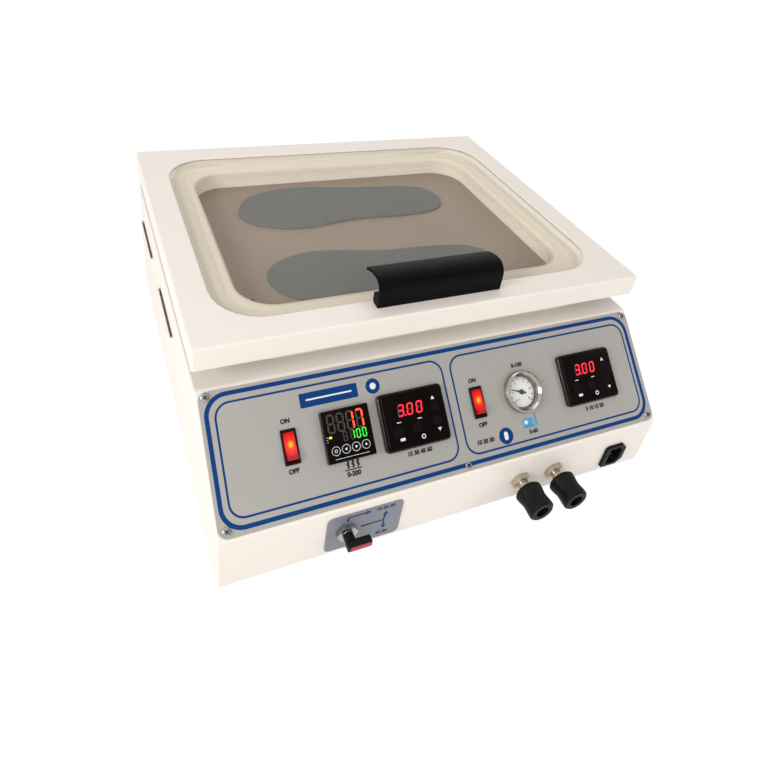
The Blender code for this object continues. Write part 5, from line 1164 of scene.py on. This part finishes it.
@dataclass(frozen=True)
class ControlPlate:
    """The instruments' plate: its printed lines, labels and symbols, and its screws."""

    ink: float = 0.10 * MM
    screws: tuple[Screw, ...] = (
        Screw((-0.2400, 0.0580), 4.2 * MM, 0.3), Screw((0.2400, 0.0580), 4.2 * MM, 1.1),
        Screw((-0.2390, -0.0565), 4.2 * MM, 0.7), Screw((0.2390, -0.0565), 4.2 * MM, 0.1),
        Screw((0.0010, -0.0574), 3.2 * MM, 0.9),
    )

    # Name, left and right run, upper and lower run, corner radius, line width.
    BOXES = (
        ("outer", (-241.3, 239.8), (58.2, -56.7), 19.0, 4.0),
        ("inner_left", (-233.8, -5.6), (50.4, -48.8), 13.5, 1.9),
        ("inner_right", (4.4, 233.5), (50.4, -49.4), 13.5, 1.9),
    )
    # Name, words, height of the capitals, place.
    LABELS = (
        ("on_left", "ON", 4.6, (-173.3, 23.4)),
        ("off_left", "OFF", 4.6, (-172.8, -21.6)),
        ("on_right", "ON", 4.6, (26.2, 22.6)),
        ("off_right", "OFF", 4.6, (27.6, -22.8)),
        ("heat_scale", "0-200", 4.8, (-117.4, -36.6)),
        ("timer_scale_left", "15 30 45 60", 4.7, (-47.6, -32.6)),
        ("timer_scale_right", "5 10 15 20", 4.7, (170.0, -33.6)),
        ("gauge_scale_mark", "0-100", 4.8, (83.2, 28.6)),
        ("pump_number", "0-60", 4.8, (85.0, -41.6)),
        ("disc_number", "10 20 30", 4.8, (26.2, -39.2)),
    )
    # Name, size, corner radius, place.
    PUMP = (
        ("pump_drum", (12.5, 8.5), 2.6, (80.6, -31.6)),
        ("pump_foot", (15.0, 2.2), 0.6, (81.2, -36.2)),
        ("pump_tower", (3.2, 13.0), 1.0, (90.6, -30.2)),
    )
    BAR_PLACE = (-127.8, 37.8)
    ROUND_PLACE = (-82.6, 38.0)
    DISC_PLACE = (51.2, -39.4)
    # The heat sign's first wave and its points' sideways shares; three waves stand side by side.
    WAVE_FOOT = (-121.8, -31.2)
    WAVE_SIDES = (-0.6, 1, -1, 1, -0.6)
    WAVE_PITCH, WAVE_REACH, WAVE_STEP = 4.9, 1.7, 1.75
    # A screw's head and recess, and the black slab painted as shade in the recess, as shares of the head's
    # radius.
    HEAD_HEIGHT, HEAD_RIM = 0.46, 0.30
    RECESS, RECESS_FLOOR = (1.16, 0.23), (1.10, 0.21)

    def heat_symbol(self, drawing: Drawing) -> Piece:
        """Three rising waves over a short line."""
        waves = []
        for column in range(3):
            middle = self.WAVE_FOOT[0] + column * self.WAVE_PITCH
            points = [(middle + side * self.WAVE_REACH, self.WAVE_FOOT[1] + row * self.WAVE_STEP)
                      for row, side in enumerate(self.WAVE_SIDES)]
            waves.append(drawing.stroke(f"wave_{column}", points, 1.8))
        line = drawing.slab("wave_line", (17, 1.1), 0, (-117.3, -32.7))
        return joined("heat_symbol", *waves, line)

    def screw_heads(self) -> None:
        """Models one head, then copies it to the plate's five holes, each with a black slab in its recess as
        painted shade.
        """
        head = add_disc("plate_screws", 1.0, (0, 0, 0), self.HEAD_HEIGHT, 40, rim=self.HEAD_RIM)
        for turn in (0.0, QUARTER):
            slot = add_slab("recess", self.RECESS, 0.0, (0, 0, 0.26), 0.5)
            slot.data.transform(Matrix.Rotation(turn, 4, "Z"))
            carve(head, slot)
        moves = [Matrix.Translation((*screw.place, PLATE_TOP)) @ Matrix.Rotation(screw.turn, 4, "Z")
                 @ Matrix.Scale(screw.radius, 4) for screw in self.screws]
        settle(PANEL.carry(copies(head, moves)), STEEL, "cabinet")
        # Painted shade: a thin black slab at the bottom of each cross recess darkens it.
        shade_slabs = [add_slab(f"recess_{size[0]}", size, 0.0, (0, 0, 0.2), 0.075)
                  for size in (self.RECESS_FLOOR, self.RECESS_FLOOR[::-1])]
        floor = copies(joined("recess_painted_shade", *shade_slabs), moves)
        settle(PANEL.carry(floor), BLACK_INK_AND_PAINTED_SHADE, "cabinet", smooth=False)

    def build(self) -> None:
        """Dresses the plate, prints it and screws it down."""
        dress(["control_plate"], PANEL_PLATE, PLATE_EDGE)
        drawing = Drawing(PANEL, "plate", PLATE_TOP - SUNK, self.ink)
        over = drawing.over()
        drawing.lay(joined("blue_lines", *[drawing.box(*row) for row in self.BOXES]), BLUE_INK)
        blocks = (drawing.slab("blue_bar", (58, 13.4), 1.2, self.BAR_PLACE),
                  drawing.disc("disc_mark", 8.4, self.DISC_PLACE, 48),
                  drawing.disc("round_mark", 7.4, self.ROUND_PLACE, 48))
        drawing.lay(joined("blue_blocks", *blocks), BLUE_INK)
        pale = (over.slab("bar_stripe", (46, 1.5), 0.3, self.BAR_PLACE),
                over.slab("disc_slab", (4.6, 8.6), 2.2, self.DISC_PLACE),
                over.disc("round_eye", 3.2, self.ROUND_PLACE, 32))
        drawing.lay(joined("pale_marks", *pale), WHITE_INK)
        labels = [drawing.words(*row) for row in self.LABELS]
        drawing.lay(joined("labels", *labels, self.heat_symbol(drawing)), BLACK_INK_AND_PAINTED_SHADE)
        pump = joined("pump_symbol", *[drawing.slab(*row) for row in self.PUMP])
        drawing.lay(over.disc("pump_face", 2.2, (78.4, -31.4), 28), WHITE_INK)
        drawing.lay(pump, CYAN_INK)
        self.screw_heads()


# Displays and instruments


@dataclass(frozen=True)
class Digits:
    """Seven-segment numerals behind a smoked window, in millimetres.

    Attributes:
        wide: Width of a numeral.
        high: Its height.
        line: Width of a segment.
        lean: How far the top leans to the right, as a share of the height.
    """

    wide: float
    high: float
    line: float
    lean: float = 0.0

    LIT = {"0": "abcdef", "1": "bc", "3": "abgcd", "7": "abc", " ": ""}

    def segment_move(self, letter: str) -> Matrix:
        """Where a level segment of the numeral's full width goes for a letter from a to g."""
        half_x, half_y = (self.wide - self.line) / 2, (self.high - self.line) / 2
        level = {"a": half_y, "g": 0.0, "d": -half_y}
        if letter in level:
            return Matrix.Translation((0, level[letter] * MM, 0))
        side = half_x if letter in "bc" else -half_x
        height = half_y / 2 if letter in "bf" else -half_y / 2
        reach = (half_y - 0.06 * self.line) / (2 * half_x)
        return (Matrix.Translation((side * MM, height * MM, 0)) @ Matrix.Rotation(QUARTER, 4, "Z")
                @ Matrix.Diagonal((reach, 1, 1, 1)))

    def build(self, drawing: Drawing, name: str, numerals: str, columns: Sequence[float], level: float,
              lit: bool) -> Piece:
        """Builds the lit or the dark segments of a row of numerals.

        Args:
            drawing: The display's drawing.
            name: The piece's name.
            numerals: What the row shows.
            columns: Each numeral's middle.
            level: The row's middle.
            lit: True for the segments that are on, False for the others.

        Returns:
            The segments, in the drawing.
        """
        slant = Matrix.Identity(4)
        slant[0][1] = self.lean
        moves = [Matrix.Translation((column * MM, level * MM, 0)) @ slant @ self.segment_move(letter)
                 for numeral, column in zip(numerals, columns)
                 for letter in "abcdefg" if (letter in self.LIT[numeral]) == lit]
        size = (self.wide - 1.15 * self.line, self.line)
        return copies(drawing.slab(name, size, self.line * 0.46, (0, 0), steps=1), moves)


@dataclass(frozen=True)
class Controller:
    """Temperature controller: black window, two rows of numerals, lamps and four ringed keys."""

    centre: float = -0.11740
    face: float = 7.0 * MM
    film: float = 0.06 * MM
    key_rise: float = 0.32 * MM

    # Name, numerals, what they show, their middles, the row's middle, the colour when lit.
    ROWS = (
        ("temperature", Digits(7.8, 17.8, 1.8), "  17", (-15.46, -5.85, 3.8, 13.4), 11.7, LED_ORANGE),
        ("setting", Digits(4.4, 8.8, 1.05), " 100", (-3.57, 3.6, 9.6, 15.7), -1.7, LED_GREEN),
    )
    KEY_PLACES = ((-15, -13), (-5, -13), (5, -13), (15, -13))
    # Name, radius, sides, hole and turn of the mark on each key.
    KEY_MARKS = (
        ("key_round", 1.5, 20, 1.0, 0.0), ("key_left", 1.6, 3, 0.0, math.pi),
        ("key_down", 1.6, 3, 0.0, -QUARTER), ("key_up", 1.6, 3, 0.0, QUARTER),
    )

    def build(self) -> None:
        """Dresses the case and keys and lays the display on it."""
        dress(["temperature_controller"], SMOKED_WINDOW, MOULDED_EDGE)
        dress([f"controller_key_{number}" for number in (1, 2, 3, 4)], KEYPAD, KEY_EDGE)
        drawing = Drawing(PANEL, "black_plastic", self.face - SUNK, self.film, self.centre)
        keys = drawing.raised(self.key_rise)
        for name, digits, numerals, columns, level, glow in self.ROWS:
            for state, finish in (("lit", glow), ("dark", LED_OFF_AND_PAINTED_HIGHLIGHT)):
                row = digits.build(drawing, f"{name}_{state}", numerals, columns, level, state == "lit")
                drawing.lay(row, finish)
        drawing.lay(drawing.slab("output_lamp", (2.8, 1.8), 0.4, (-18, -0.2)), LED_YELLOW)
        rings = [drawing.disc(f"ring_{index}", 4.2, place, 32, hole=3.75)
                 for index, place in enumerate(self.KEY_PLACES)]
        marks = [keys.disc(name, radius, place, steps, hole, turn)
                 for (name, radius, steps, hole, turn), place in zip(self.KEY_MARKS, self.KEY_PLACES)]
        ticks = [drawing.slab(f"tick_{row}", (1.6, 0.35), 0, (-21.4, 0.4 - row * 2.1)) for row in range(3)]
        foot = drawing.slab("foot_line", (34, 0.35), 0, (0, -20.5))
        drawing.lay(joined("controller_print", *rings, *ticks, foot), WHITE_INK)
        for number, mark in enumerate(marks, start=1):
            drawing.lay(mark, WHITE_INK, f"controller_button_{number}")


@dataclass(frozen=True)
class Timer:
    """Dark glossy timer with three leaning red numerals and four keys that hardly show."""

    name: str
    centre: float
    face: float = 6.5 * MM
    film: float = 0.06 * MM

    KEYS = ("up", "down", "set", "start")
    NUMERALS = Digits(6.9, 11.6, 1.5, lean=0.12)
    ROW = ("300", (-13.0, -3.3, 6.9), 9.5)

    def build(self) -> None:
        """Dresses the case and keys and lays the display on it."""
        dress([self.name], SMOKED_WINDOW, MOULDED_EDGE)
        dress([f"{self.name}_key_{key}" for key in self.KEYS], KEYPAD, KEY_EDGE)
        drawing = Drawing(PANEL, "black_plastic", self.face - SUNK, self.film, self.centre)
        lit = self.NUMERALS.build(drawing, self.name + "_lit", *self.ROW, True)
        point = drawing.disc(self.name + "_point", 0.75, (-8.9, 4.4), 20)
        drawing.lay(joined(self.name + "_lit", lit, point), LED_RED)
        drawing.lay(self.NUMERALS.build(drawing, self.name + "_dark", *self.ROW, False), LED_OFF_AND_PAINTED_HIGHLIGHT)
        marks = (
            *[drawing.slab(f"{self.name}_bar_{x:.0f}", (4.4, 0.8), 0, (x, -1.3)) for x in (-17.3, 5.0)],
            drawing.disc(self.name + "_mark_up", 2.3, (23.0, 14.8), 3, turn=QUARTER),
            drawing.disc(self.name + "_mark_down", 2.3, (24.2, -15.5), 3, turn=-QUARTER),
            drawing.slab(self.name + "_mark_set", (5.2, 2.6), 0.3, (-16.7, -17.5)),
            drawing.disc(self.name + "_mark_start", 2.3, (5.5, -19.1), 24, hole=1.4),
        )
        drawing.lay(joined(self.name + "_marks", *marks), WHITE_INK)
        # Painted highlight: a grey line down the left of the window, where the bezel's ridge would catch light.
        drawing.lay(drawing.slab(self.name + "_edge", (0.35, 47), 0, (-31.5, 1.0)), LED_OFF_AND_PAINTED_HIGHLIGHT)


@dataclass(frozen=True)
class RockerSwitch:
    """Lit red rocker in a black bezel, its lamp a little above its middle."""

    name: str
    centre: float
    spot: Point3 = (0.2 * MM, 2.2 * MM, 4.0 * MM)
    lens_edge: float = 0.25 * MM

    def build(self) -> None:
        """Dresses the bezel and the lens."""
        dress([self.name + "_switch_bezel"], BLACK_ABS, MOULDED_EDGE)
        spot = PANEL.point(self.centre + self.spot[0], *self.spot[1:])
        dress([self.name + "_switch_rocker"], LitLens(self.name + "_lens", spot), self.lens_edge)


@dataclass(frozen=True)
class Gauge:
    """Vacuum gauge: chromed case, printed dial, needle and glass. The dial is drawn in millimetres."""

    centre: float = 0.0820
    dial: float = 0.6 * MM
    ink: float = 0.06 * MM
    radius: float = 16.6
    start: float = math.radians(225)
    sweep: float = math.radians(270)
    steps: int = 50

    # Length and width of every fifth tick, and of the others.
    LONG_TICK = (3.0, 0.75)
    SHORT_TICK = (1.6, 0.34)
    # How far inside the dial's edge the arc and the numbers stand.
    ARC_INSET, NUMBER_INSET = 1.2, 5.7

    def at(self, share: float, radius: float) -> Point2:
        """A point of the dial at a share of the scale's sweep."""
        angle = self.start - share * self.sweep
        return (radius * math.cos(angle), radius * math.sin(angle))

    def ticks(self, drawing: Drawing) -> Piece:
        """The scale's ticks, every fifth one longer and bolder."""
        moves = []
        for index in range(self.steps + 1):
            share = index / self.steps
            long, wide = self.SHORT_TICK if index % 5 else self.LONG_TICK
            place = drawing.spot(self.at(share, self.radius - self.ARC_INSET - long / 2))
            moves.append(Matrix.Translation(place) @ Matrix.Rotation(self.start - share * self.sweep, 4, "Z")
                         @ Matrix.Diagonal((long * MM, wide * MM, drawing.thick, 1)))
        return copies(add_slab("gauge_ticks", (1.0, 1.0), 0, (0, 0, 0), 1.0), moves)

    def build(self) -> None:
        """Dresses the gauge, prints its scale and paints a dark ring of shade at the dial's edge."""
        dress(["gauge_case"], CHROME, TURNED_EDGE)
        dress(["gauge_dial"], DIAL_CARD)
        dress(["gauge_needle"], BLACK_ABS)
        dress(["gauge_lens"], LENS_GLASS)
        drawing = Drawing(PANEL, "dial", self.dial - SUNK, self.ink, self.centre)
        ticks = self.ticks(drawing)
        numbers = [drawing.words(f"gauge_{number}", str(number), 1.9,
                                 self.at(number / 10, self.radius - self.NUMBER_INSET))
                   for number in range(0, 11, 2)]
        bend = [self.at(index / 40, self.radius - self.ARC_INSET) for index in range(41)]
        arc = drawing.stroke("gauge_arc", bend, 0.25)
        # Painted shade: a dark ring at the dial's edge stands in for the shade of the chrome bezel's throat.
        edge = drawing.disc("gauge_edge", 16.5, (0, 0), 64, hole=15.9)
        hub = add_disc("gauge_hub", 2.6 * MM, drawing.spot((0, 0)), 0.9 * MM, 32, rim=0.3 * MM)
        stop = add_disc("gauge_stop", 0.55 * MM, drawing.spot((-5, -7.2)), 0.5 * MM, 16, rim=0.15 * MM)
        drawing.lay(joined("gauge_scale", ticks, *numbers, arc, edge, hub, stop), BLACK_INK_AND_PAINTED_SHADE)


@dataclass(frozen=True)
class Valve:
    """Vacuum valve on its label plate, with arrows for the lever's ways, and a red cap on the lever."""

    plate_top: float = 1.1 * MM
    ink: float = 0.08 * MM
    cap_place: Point3 = (-0.1205, 0.0315, 21.45 * MM)
    cap_size: Point2 = (21 * MM, 6.0 * MM)

    # Name, corners of the line, its width, middle of the head and where it points.
    UPPER_WAY = ("upper_way", ((-127.5, 44.5), (-127.3, 50.0), (-108.5, 50.0)), 2.6, (-107.2, 50.0), 0.0)
    FORK = (
        ("fork_up", ((-112.5, 30.6), (-89.3, 30.6), (-88.0, 40.0)), 2.4, (-88.0, 40.5), QUARTER),
        ("fork_down", ((-112.5, 30.6), (-89.3, 30.6), (-88.0, 21.0)), 2.4, (-88.0, 20.5), -QUARTER),
    )
    NUMBERS = (("way_one", "10 20 30", 4.6, (-89.0, 50.0)), ("way_two", "40 50", 4.6, (-89.0, 11.5)))
    HEAD = 3.6

    def arrow(self, drawing: Drawing, name: str, points: Outline, width: float, head: Point2,
              turn: float) -> Piece:
        """A printed line with a head.

        Args:
            drawing: The label plate's drawing.
            name: The piece's name.
            points: The line's corners, across and up the band.
            width: The line's width.
            head: Middle of the head.
            turn: Where it points.

        Returns:
            The arrow, in the drawing.
        """
        line = drawing.stroke(name + "_line", points, width, smooth=False)
        return joined(name, line, drawing.disc(name + "_head", self.HEAD, head, 3, turn=turn))

    def build(self) -> None:
        """Dresses the valve, prints its plate and caps its lever."""
        dress(["valve_plate"], VALVE_PLATE, PLATE_EDGE)
        dress(["valve_body"], STEEL, MOULDED_EDGE)
        dress(["valve_lever"], BLACK_ABS, MOULDED_EDGE)
        drawing = Drawing(BAND, "plate", self.plate_top - SUNK, self.ink)
        drawing.lay(self.arrow(drawing, *self.UPPER_WAY), NAVY_INK)
        drawing.lay(joined("fork", *[self.arrow(drawing, *row) for row in self.FORK]), BLUE_INK)
        drawing.lay(joined("way_numbers", *[drawing.words(*row) for row in self.NUMBERS]), NAVY_INK)
        cap = add_slab("lever_cap", self.cap_size, 1.0 * MM, self.cap_place, 0.45 * MM, rim=0.15 * MM)
        settle(BAND.carry(cap), RED_CAP, "lever")


@dataclass(frozen=True)
class FrontFittings:
    """The two quick couplers and the power inlet on the front band."""

    def build(self) -> None:
        """Dresses them."""
        dress(["coupler_body_left", "coupler_body_right"], NICKEL, TURNED_EDGE)
        dress(["coupler_sleeve_left", "coupler_sleeve_right", "power_inlet"], BLACK_ABS, MOULDED_EDGE)


# The lid


@dataclass(frozen=True)
class Lid:
    """Lid frame with its clamp, pull and hinges."""

    def build(self) -> None:
        """Dresses them."""
        dress(["lid_frame"], POWDER_COAT, SHEET_EDGE)
        dress(["membrane_clamp"], CLAMP_PAINT)
        dress(["handle"], BLACK_EXTRUSION, MOULDED_EDGE)
        for side in ("left", "right"):
            dress([f"hinge_body_leaf_{side}", f"hinge_lid_leaf_{side}"], STEEL, TURNED_EDGE)
            dress([f"hinge_pin_{side}"], STEEL)


@dataclass(frozen=True)
class Membrane:
    """Silicone sheet that the vacuum has drawn over the gasket, down the wall and over the floor and blanks.

    Attributes:
        window: Half sizes and corner of the lid's window.
        well: Half sizes and corner of the well.
        edge: Half sizes, corner and middle's Y of the clamped edge.
        clamped: Height of the clamped edge.
        floor: Height of the sheet where it lies on the release sheet.
        thick: The sheet's thickness.
    """

    window: Point3 = (0.220, 0.167, 0.050)
    well: Point3 = (0.1925, 0.1425, 0.040)
    edge: tuple[float, float, float, float] = (0.2475, 0.1955, 0.004, 0.06535)
    clamped: float = 0.2052
    floor: float = 0.1779
    thick: float = 1.5 * MM

    # Rows of the sheet in millimetres: how far outside the window's edge, the well's edge or a blank, and how
    # far over the clamped edge or, for a pocket, over the floor.
    OVER_GASKET = (
        (4.0, 0.0), (1.6, -0.1), (0.2, -0.4), (-1.4, -1.0), (-3.2, -1.9), (-4.8, -2.7), (-5.9, -3.15),
        (-6.9, -3.32), (-8.4, -3.42), (-11.5, -3.7), (-14.5, -4.05), (-16.6, -4.45), (-18.0, -4.85),
        (-19.2, -5.05), (-20.4, -5.2),
    )
    DOWN_WALL = (
        (2.2, -5.3), (1.2, -5.45), (0.2, -5.9), (-0.7, -6.7), (-1.35, -7.9), (-1.7, -9.3), (-1.8, -11.0),
        (-1.8, -16.0), (-1.8, -21.5), (-1.85, -24.5), (-2.1, -25.9), (-2.7, -26.8), (-3.7, -27.2),
        (-5.2, -27.3),
    )
    POCKET = (
        (4.6, 0.0), (3.6, 0.08), (2.9, 0.35), (2.3, 0.95), (1.8, 1.75), (1.3, 2.5), (0.6, 3.05), (-0.4, 3.27),
        (-1.8, 3.3), (-6.0, 3.3),
    )

    def sheet_rows(self) -> list[tuple[list[Point2], float]]:
        """The sheet's rows from its clamped edge to the floor."""
        rows = [(round_corners(*self.edge[:3], (WELL_MIDDLE[0], self.edge[3])), self.clamped)]
        for form, section in ((self.window, self.OVER_GASKET), (self.well, self.DOWN_WALL)):
            for outward, rise in section:
                ring = round_corners(*[length + outward * MM for length in form], WELL_MIDDLE)
                rows.append((ring, self.clamped + rise * MM))
        return rows

    def build(self) -> None:
        """Builds the sheet and lets it ride on the lid."""
        shape = bmesh.new()
        rows = skin(shape, self.sheet_rows())
        edges = loop_of(shape, rows[-1])
        for blank in (FRONT_BLANK, REAR_BLANK):
            outline = blank.outline()
            pocket = skin(shape, [(grown(outline, out * MM), self.floor + rise * MM)
                                  for out, rise in self.POCKET])
            edges += loop_of(shape, pocket[0])
            bmesh.ops.triangle_fill(shape, use_beauty=True, edges=loop_of(shape, pocket[-1]))
        bmesh.ops.triangle_fill(shape, use_beauty=True, edges=edges)
        piece = as_piece("membrane_sheet", shape)
        if sum(face.normal.z * face.area for face in piece.data.polygons) < 0:
            piece.data.flip_normals()
        pick(piece)
        add_modifier(piece, "thickness", "SOLIDIFY", thickness=self.thick, offset=-1)
        bpy.ops.object.modifier_apply(modifier="thickness")
        settle(piece, SILICONE_SHEET, "lid")
        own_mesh(piece)
        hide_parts("membrane")
        # Milky silicone passes on nearly all the light that it scatters, so it casts no shadow of its own.
        piece.visible_shadow = False


# Studio


def bare_nodes(block: bpy.types.World | bpy.types.Material) -> bpy.types.NodeTree:
    """Clears the nodes of a world or a material, and gives them."""
    block.use_nodes = True
    block.node_tree.nodes.clear()
    return block.node_tree


@dataclass(frozen=True)
class Lamp:
    """A soft box aimed at the press.

    Attributes:
        name: Its name.
        place: Where it hangs.
        size: Its side.
        power: Its watts.
        mirrored: False where glossy pieces don't show it.
    """

    name: str
    place: Point3
    size: float
    power: float
    mirrored: bool = True


@dataclass(frozen=True)
class Studio:
    """White sweep, soft boxes, a dark card and the camera.

    Attributes:
        target: What the lamps are aimed at.
        camera_place: Where the camera stands.
        camera_turn: Its turn, in degrees.
        lens: Its focal length in millimetres.
        shift: How far its frame is shifted.
        lamps: The soft boxes.
        flag_place: The dark card's place.
        flag_size: The dark card's side.
        ambient: Strength of the light from all round.
        floor_size: The floor's side.
        paper: The floor's tone.
        shade: Share of the floor's own shading, and so of the shadow, that the camera sees.
        glare: Strength of the white that it sees otherwise.
    """

    target: Point3 = (0.0, 0.0, 0.12)
    camera_place: Point3 = (-0.3131, -0.55795, 0.5891)
    camera_turn: Point3 = (56.41601, -7.42891, -23.15921)
    lens: float = 30.539
    shift: Point2 = (0.00845, -0.15717)
    lamps: tuple[Lamp, ...] = (
        Lamp("left", (-2.0, -0.7, 1.15), 0.9, 28.0),
        Lamp("front", (-0.6, -2.0, 1.3), 1.4, 12.0, mirrored=False),
        Lamp("right", (1.7, -1.5, 0.9), 1.0, 12.0, mirrored=False),
        Lamp("back", (0.2, 1.2, 2.0), 1.6, 8.5),
    )
    flag_place: Point3 = (1.05, -1.75, 1.60)
    flag_size: float = 1.7
    ambient: float = 0.43
    floor_size: float = 14.0
    paper: float = 0.86
    shade: float = 0.08
    glare: float = 1.05

    WHITE = (1, 1, 1, 1)

    def aim(self, place: Point3, axis: str) -> Euler:
        """The turn that points an axis from a place to the press."""
        return (Vector(self.target) - Vector(place)).to_track_quat(axis, "Y").to_euler()

    def backdrop(self, tree: bpy.types.NodeTree, seen: Socket, lit: Socket) -> Socket:
        """White where it is looked at, straight, in a reflection or through glass.

        Args:
            tree: The material's or world's nodes.
            seen: The shader that is looked at.
            lit: The shader that lights the press.

        Returns:
            The mixed shader.
        """
        path = add_node(tree, "ShaderNodeLightPath")
        looking = path.outputs["Is Camera Ray"]
        for name in ("Is Glossy Ray", "Is Transmission Ray"):
            looking = add_node(tree, "ShaderNodeMath", {0: looking, 1: path.outputs[name]},
                               operation="MAXIMUM").outputs[0]
        return add_node(tree, "ShaderNodeMixShader", {0: looking, 1: lit, 2: seen}).outputs[0]

    def build_world(self) -> None:
        """White behind the press, grey light on it."""
        world = bpy.data.worlds.new("studio")
        bpy.context.scene.world = world
        tree = bare_nodes(world)
        seen, lit = [
            add_node(tree, "ShaderNodeBackground", {"Color": self.WHITE, "Strength": strength}).outputs[0]
            for strength in (1.0, self.ambient)]
        add_node(tree, "ShaderNodeOutputWorld", {"Surface": self.backdrop(tree, seen, lit)})

    def add_card(self, name: str, size: float) -> tuple[Piece, bpy.types.NodeTree]:
        """Adds a flat piece of the studio.

        Args:
            name: Its name, and its material's.
            size: Its side.

        Returns:
            The piece, and its material's nodes, with none in them.
        """
        deselect()
        bpy.ops.mesh.primitive_plane_add(size=size)
        card = bpy.context.object
        card.name = name
        material = bpy.data.materials.new(name)
        card.data.materials.append(material)
        return card, bare_nodes(material)

    def build_floor(self) -> None:
        """A pale floor that keeps a faint shadow."""
        floor, tree = self.add_card("studio_floor", self.floor_size)
        tone = (self.paper, self.paper, self.paper, 1)
        paper = add_node(tree, "ShaderNodeBsdfDiffuse", {"Color": tone}).outputs[0]
        white = add_node(tree, "ShaderNodeEmission", {"Color": self.WHITE, "Strength": self.glare}).outputs[0]
        seen = add_node(tree, "ShaderNodeMixShader", {0: self.shade, 1: white, 2: paper}).outputs[0]
        add_node(tree, "ShaderNodeOutputMaterial", {"Surface": self.backdrop(tree, seen, paper)})

    def build_lamps(self) -> None:
        """Hangs the soft boxes."""
        for lamp in self.lamps:
            light = bpy.data.lights.new(lamp.name, "AREA")
            light.energy = lamp.power
            light.size = lamp.size
            box = add_object(lamp.name, light)
            box.location = lamp.place
            box.rotation_euler = self.aim(lamp.place, "-Z")
            box.visible_glossy = lamp.mirrored

    def build_flag(self) -> None:
        """A dark card that only reflections see, so that black and chrome on the slope have depth."""
        flag, tree = self.add_card("studio_flag", self.flag_size)
        flag.location = self.flag_place
        flag.rotation_euler = self.aim(self.flag_place, "Z")
        dark = add_node(tree, "ShaderNodeEmission", {"Color": linear("#3a3632"), "Strength": 1.0}).outputs[0]
        add_node(tree, "ShaderNodeOutputMaterial", {"Surface": dark})
        for ray in ("camera", "diffuse", "transmission", "shadow", "volume_scatter"):
            setattr(flag, "visible_" + ray, False)

    def build_camera(self) -> None:
        """Puts the camera where the photograph was taken from."""
        camera = bpy.data.cameras.new("camera")
        camera.sensor_width = 36
        camera.lens = self.lens
        camera.shift_x, camera.shift_y = self.shift
        stand = add_object("camera", camera)
        stand.location = self.camera_place
        stand.rotation_euler = [math.radians(angle) for angle in self.camera_turn]
        bpy.context.scene.camera = stand

    def build(self) -> None:
        """Builds the studio."""
        self.build_world()
        self.build_floor()
        self.build_lamps()
        self.build_flag()
        self.build_camera()
        bpy.context.scene.view_settings.view_transform = "Standard"


def main() -> None:
    """Builds the visual model piece by piece."""
    logging.basicConfig(level=logging.INFO, format="%(name)s: %(message)s")
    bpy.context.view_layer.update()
    parts = (
        Cabinet(), Gasket(), Blanks(), Hoses(), ControlPlate(), Controller(),
        Timer("heat_timer", -0.0478), Timer("vacuum_timer", 0.1687),
        RockerSwitch("heat", -0.1726), RockerSwitch("vacuum", 0.0270),
        Gauge(), Valve(), FrontFittings(), Lid(), Membrane(), Studio(),
    )
    for part in parts:
        LOG.info("building %s", type(part).__name__)
        part.build()
    deselect()


if __name__ == "__main__":
    main()
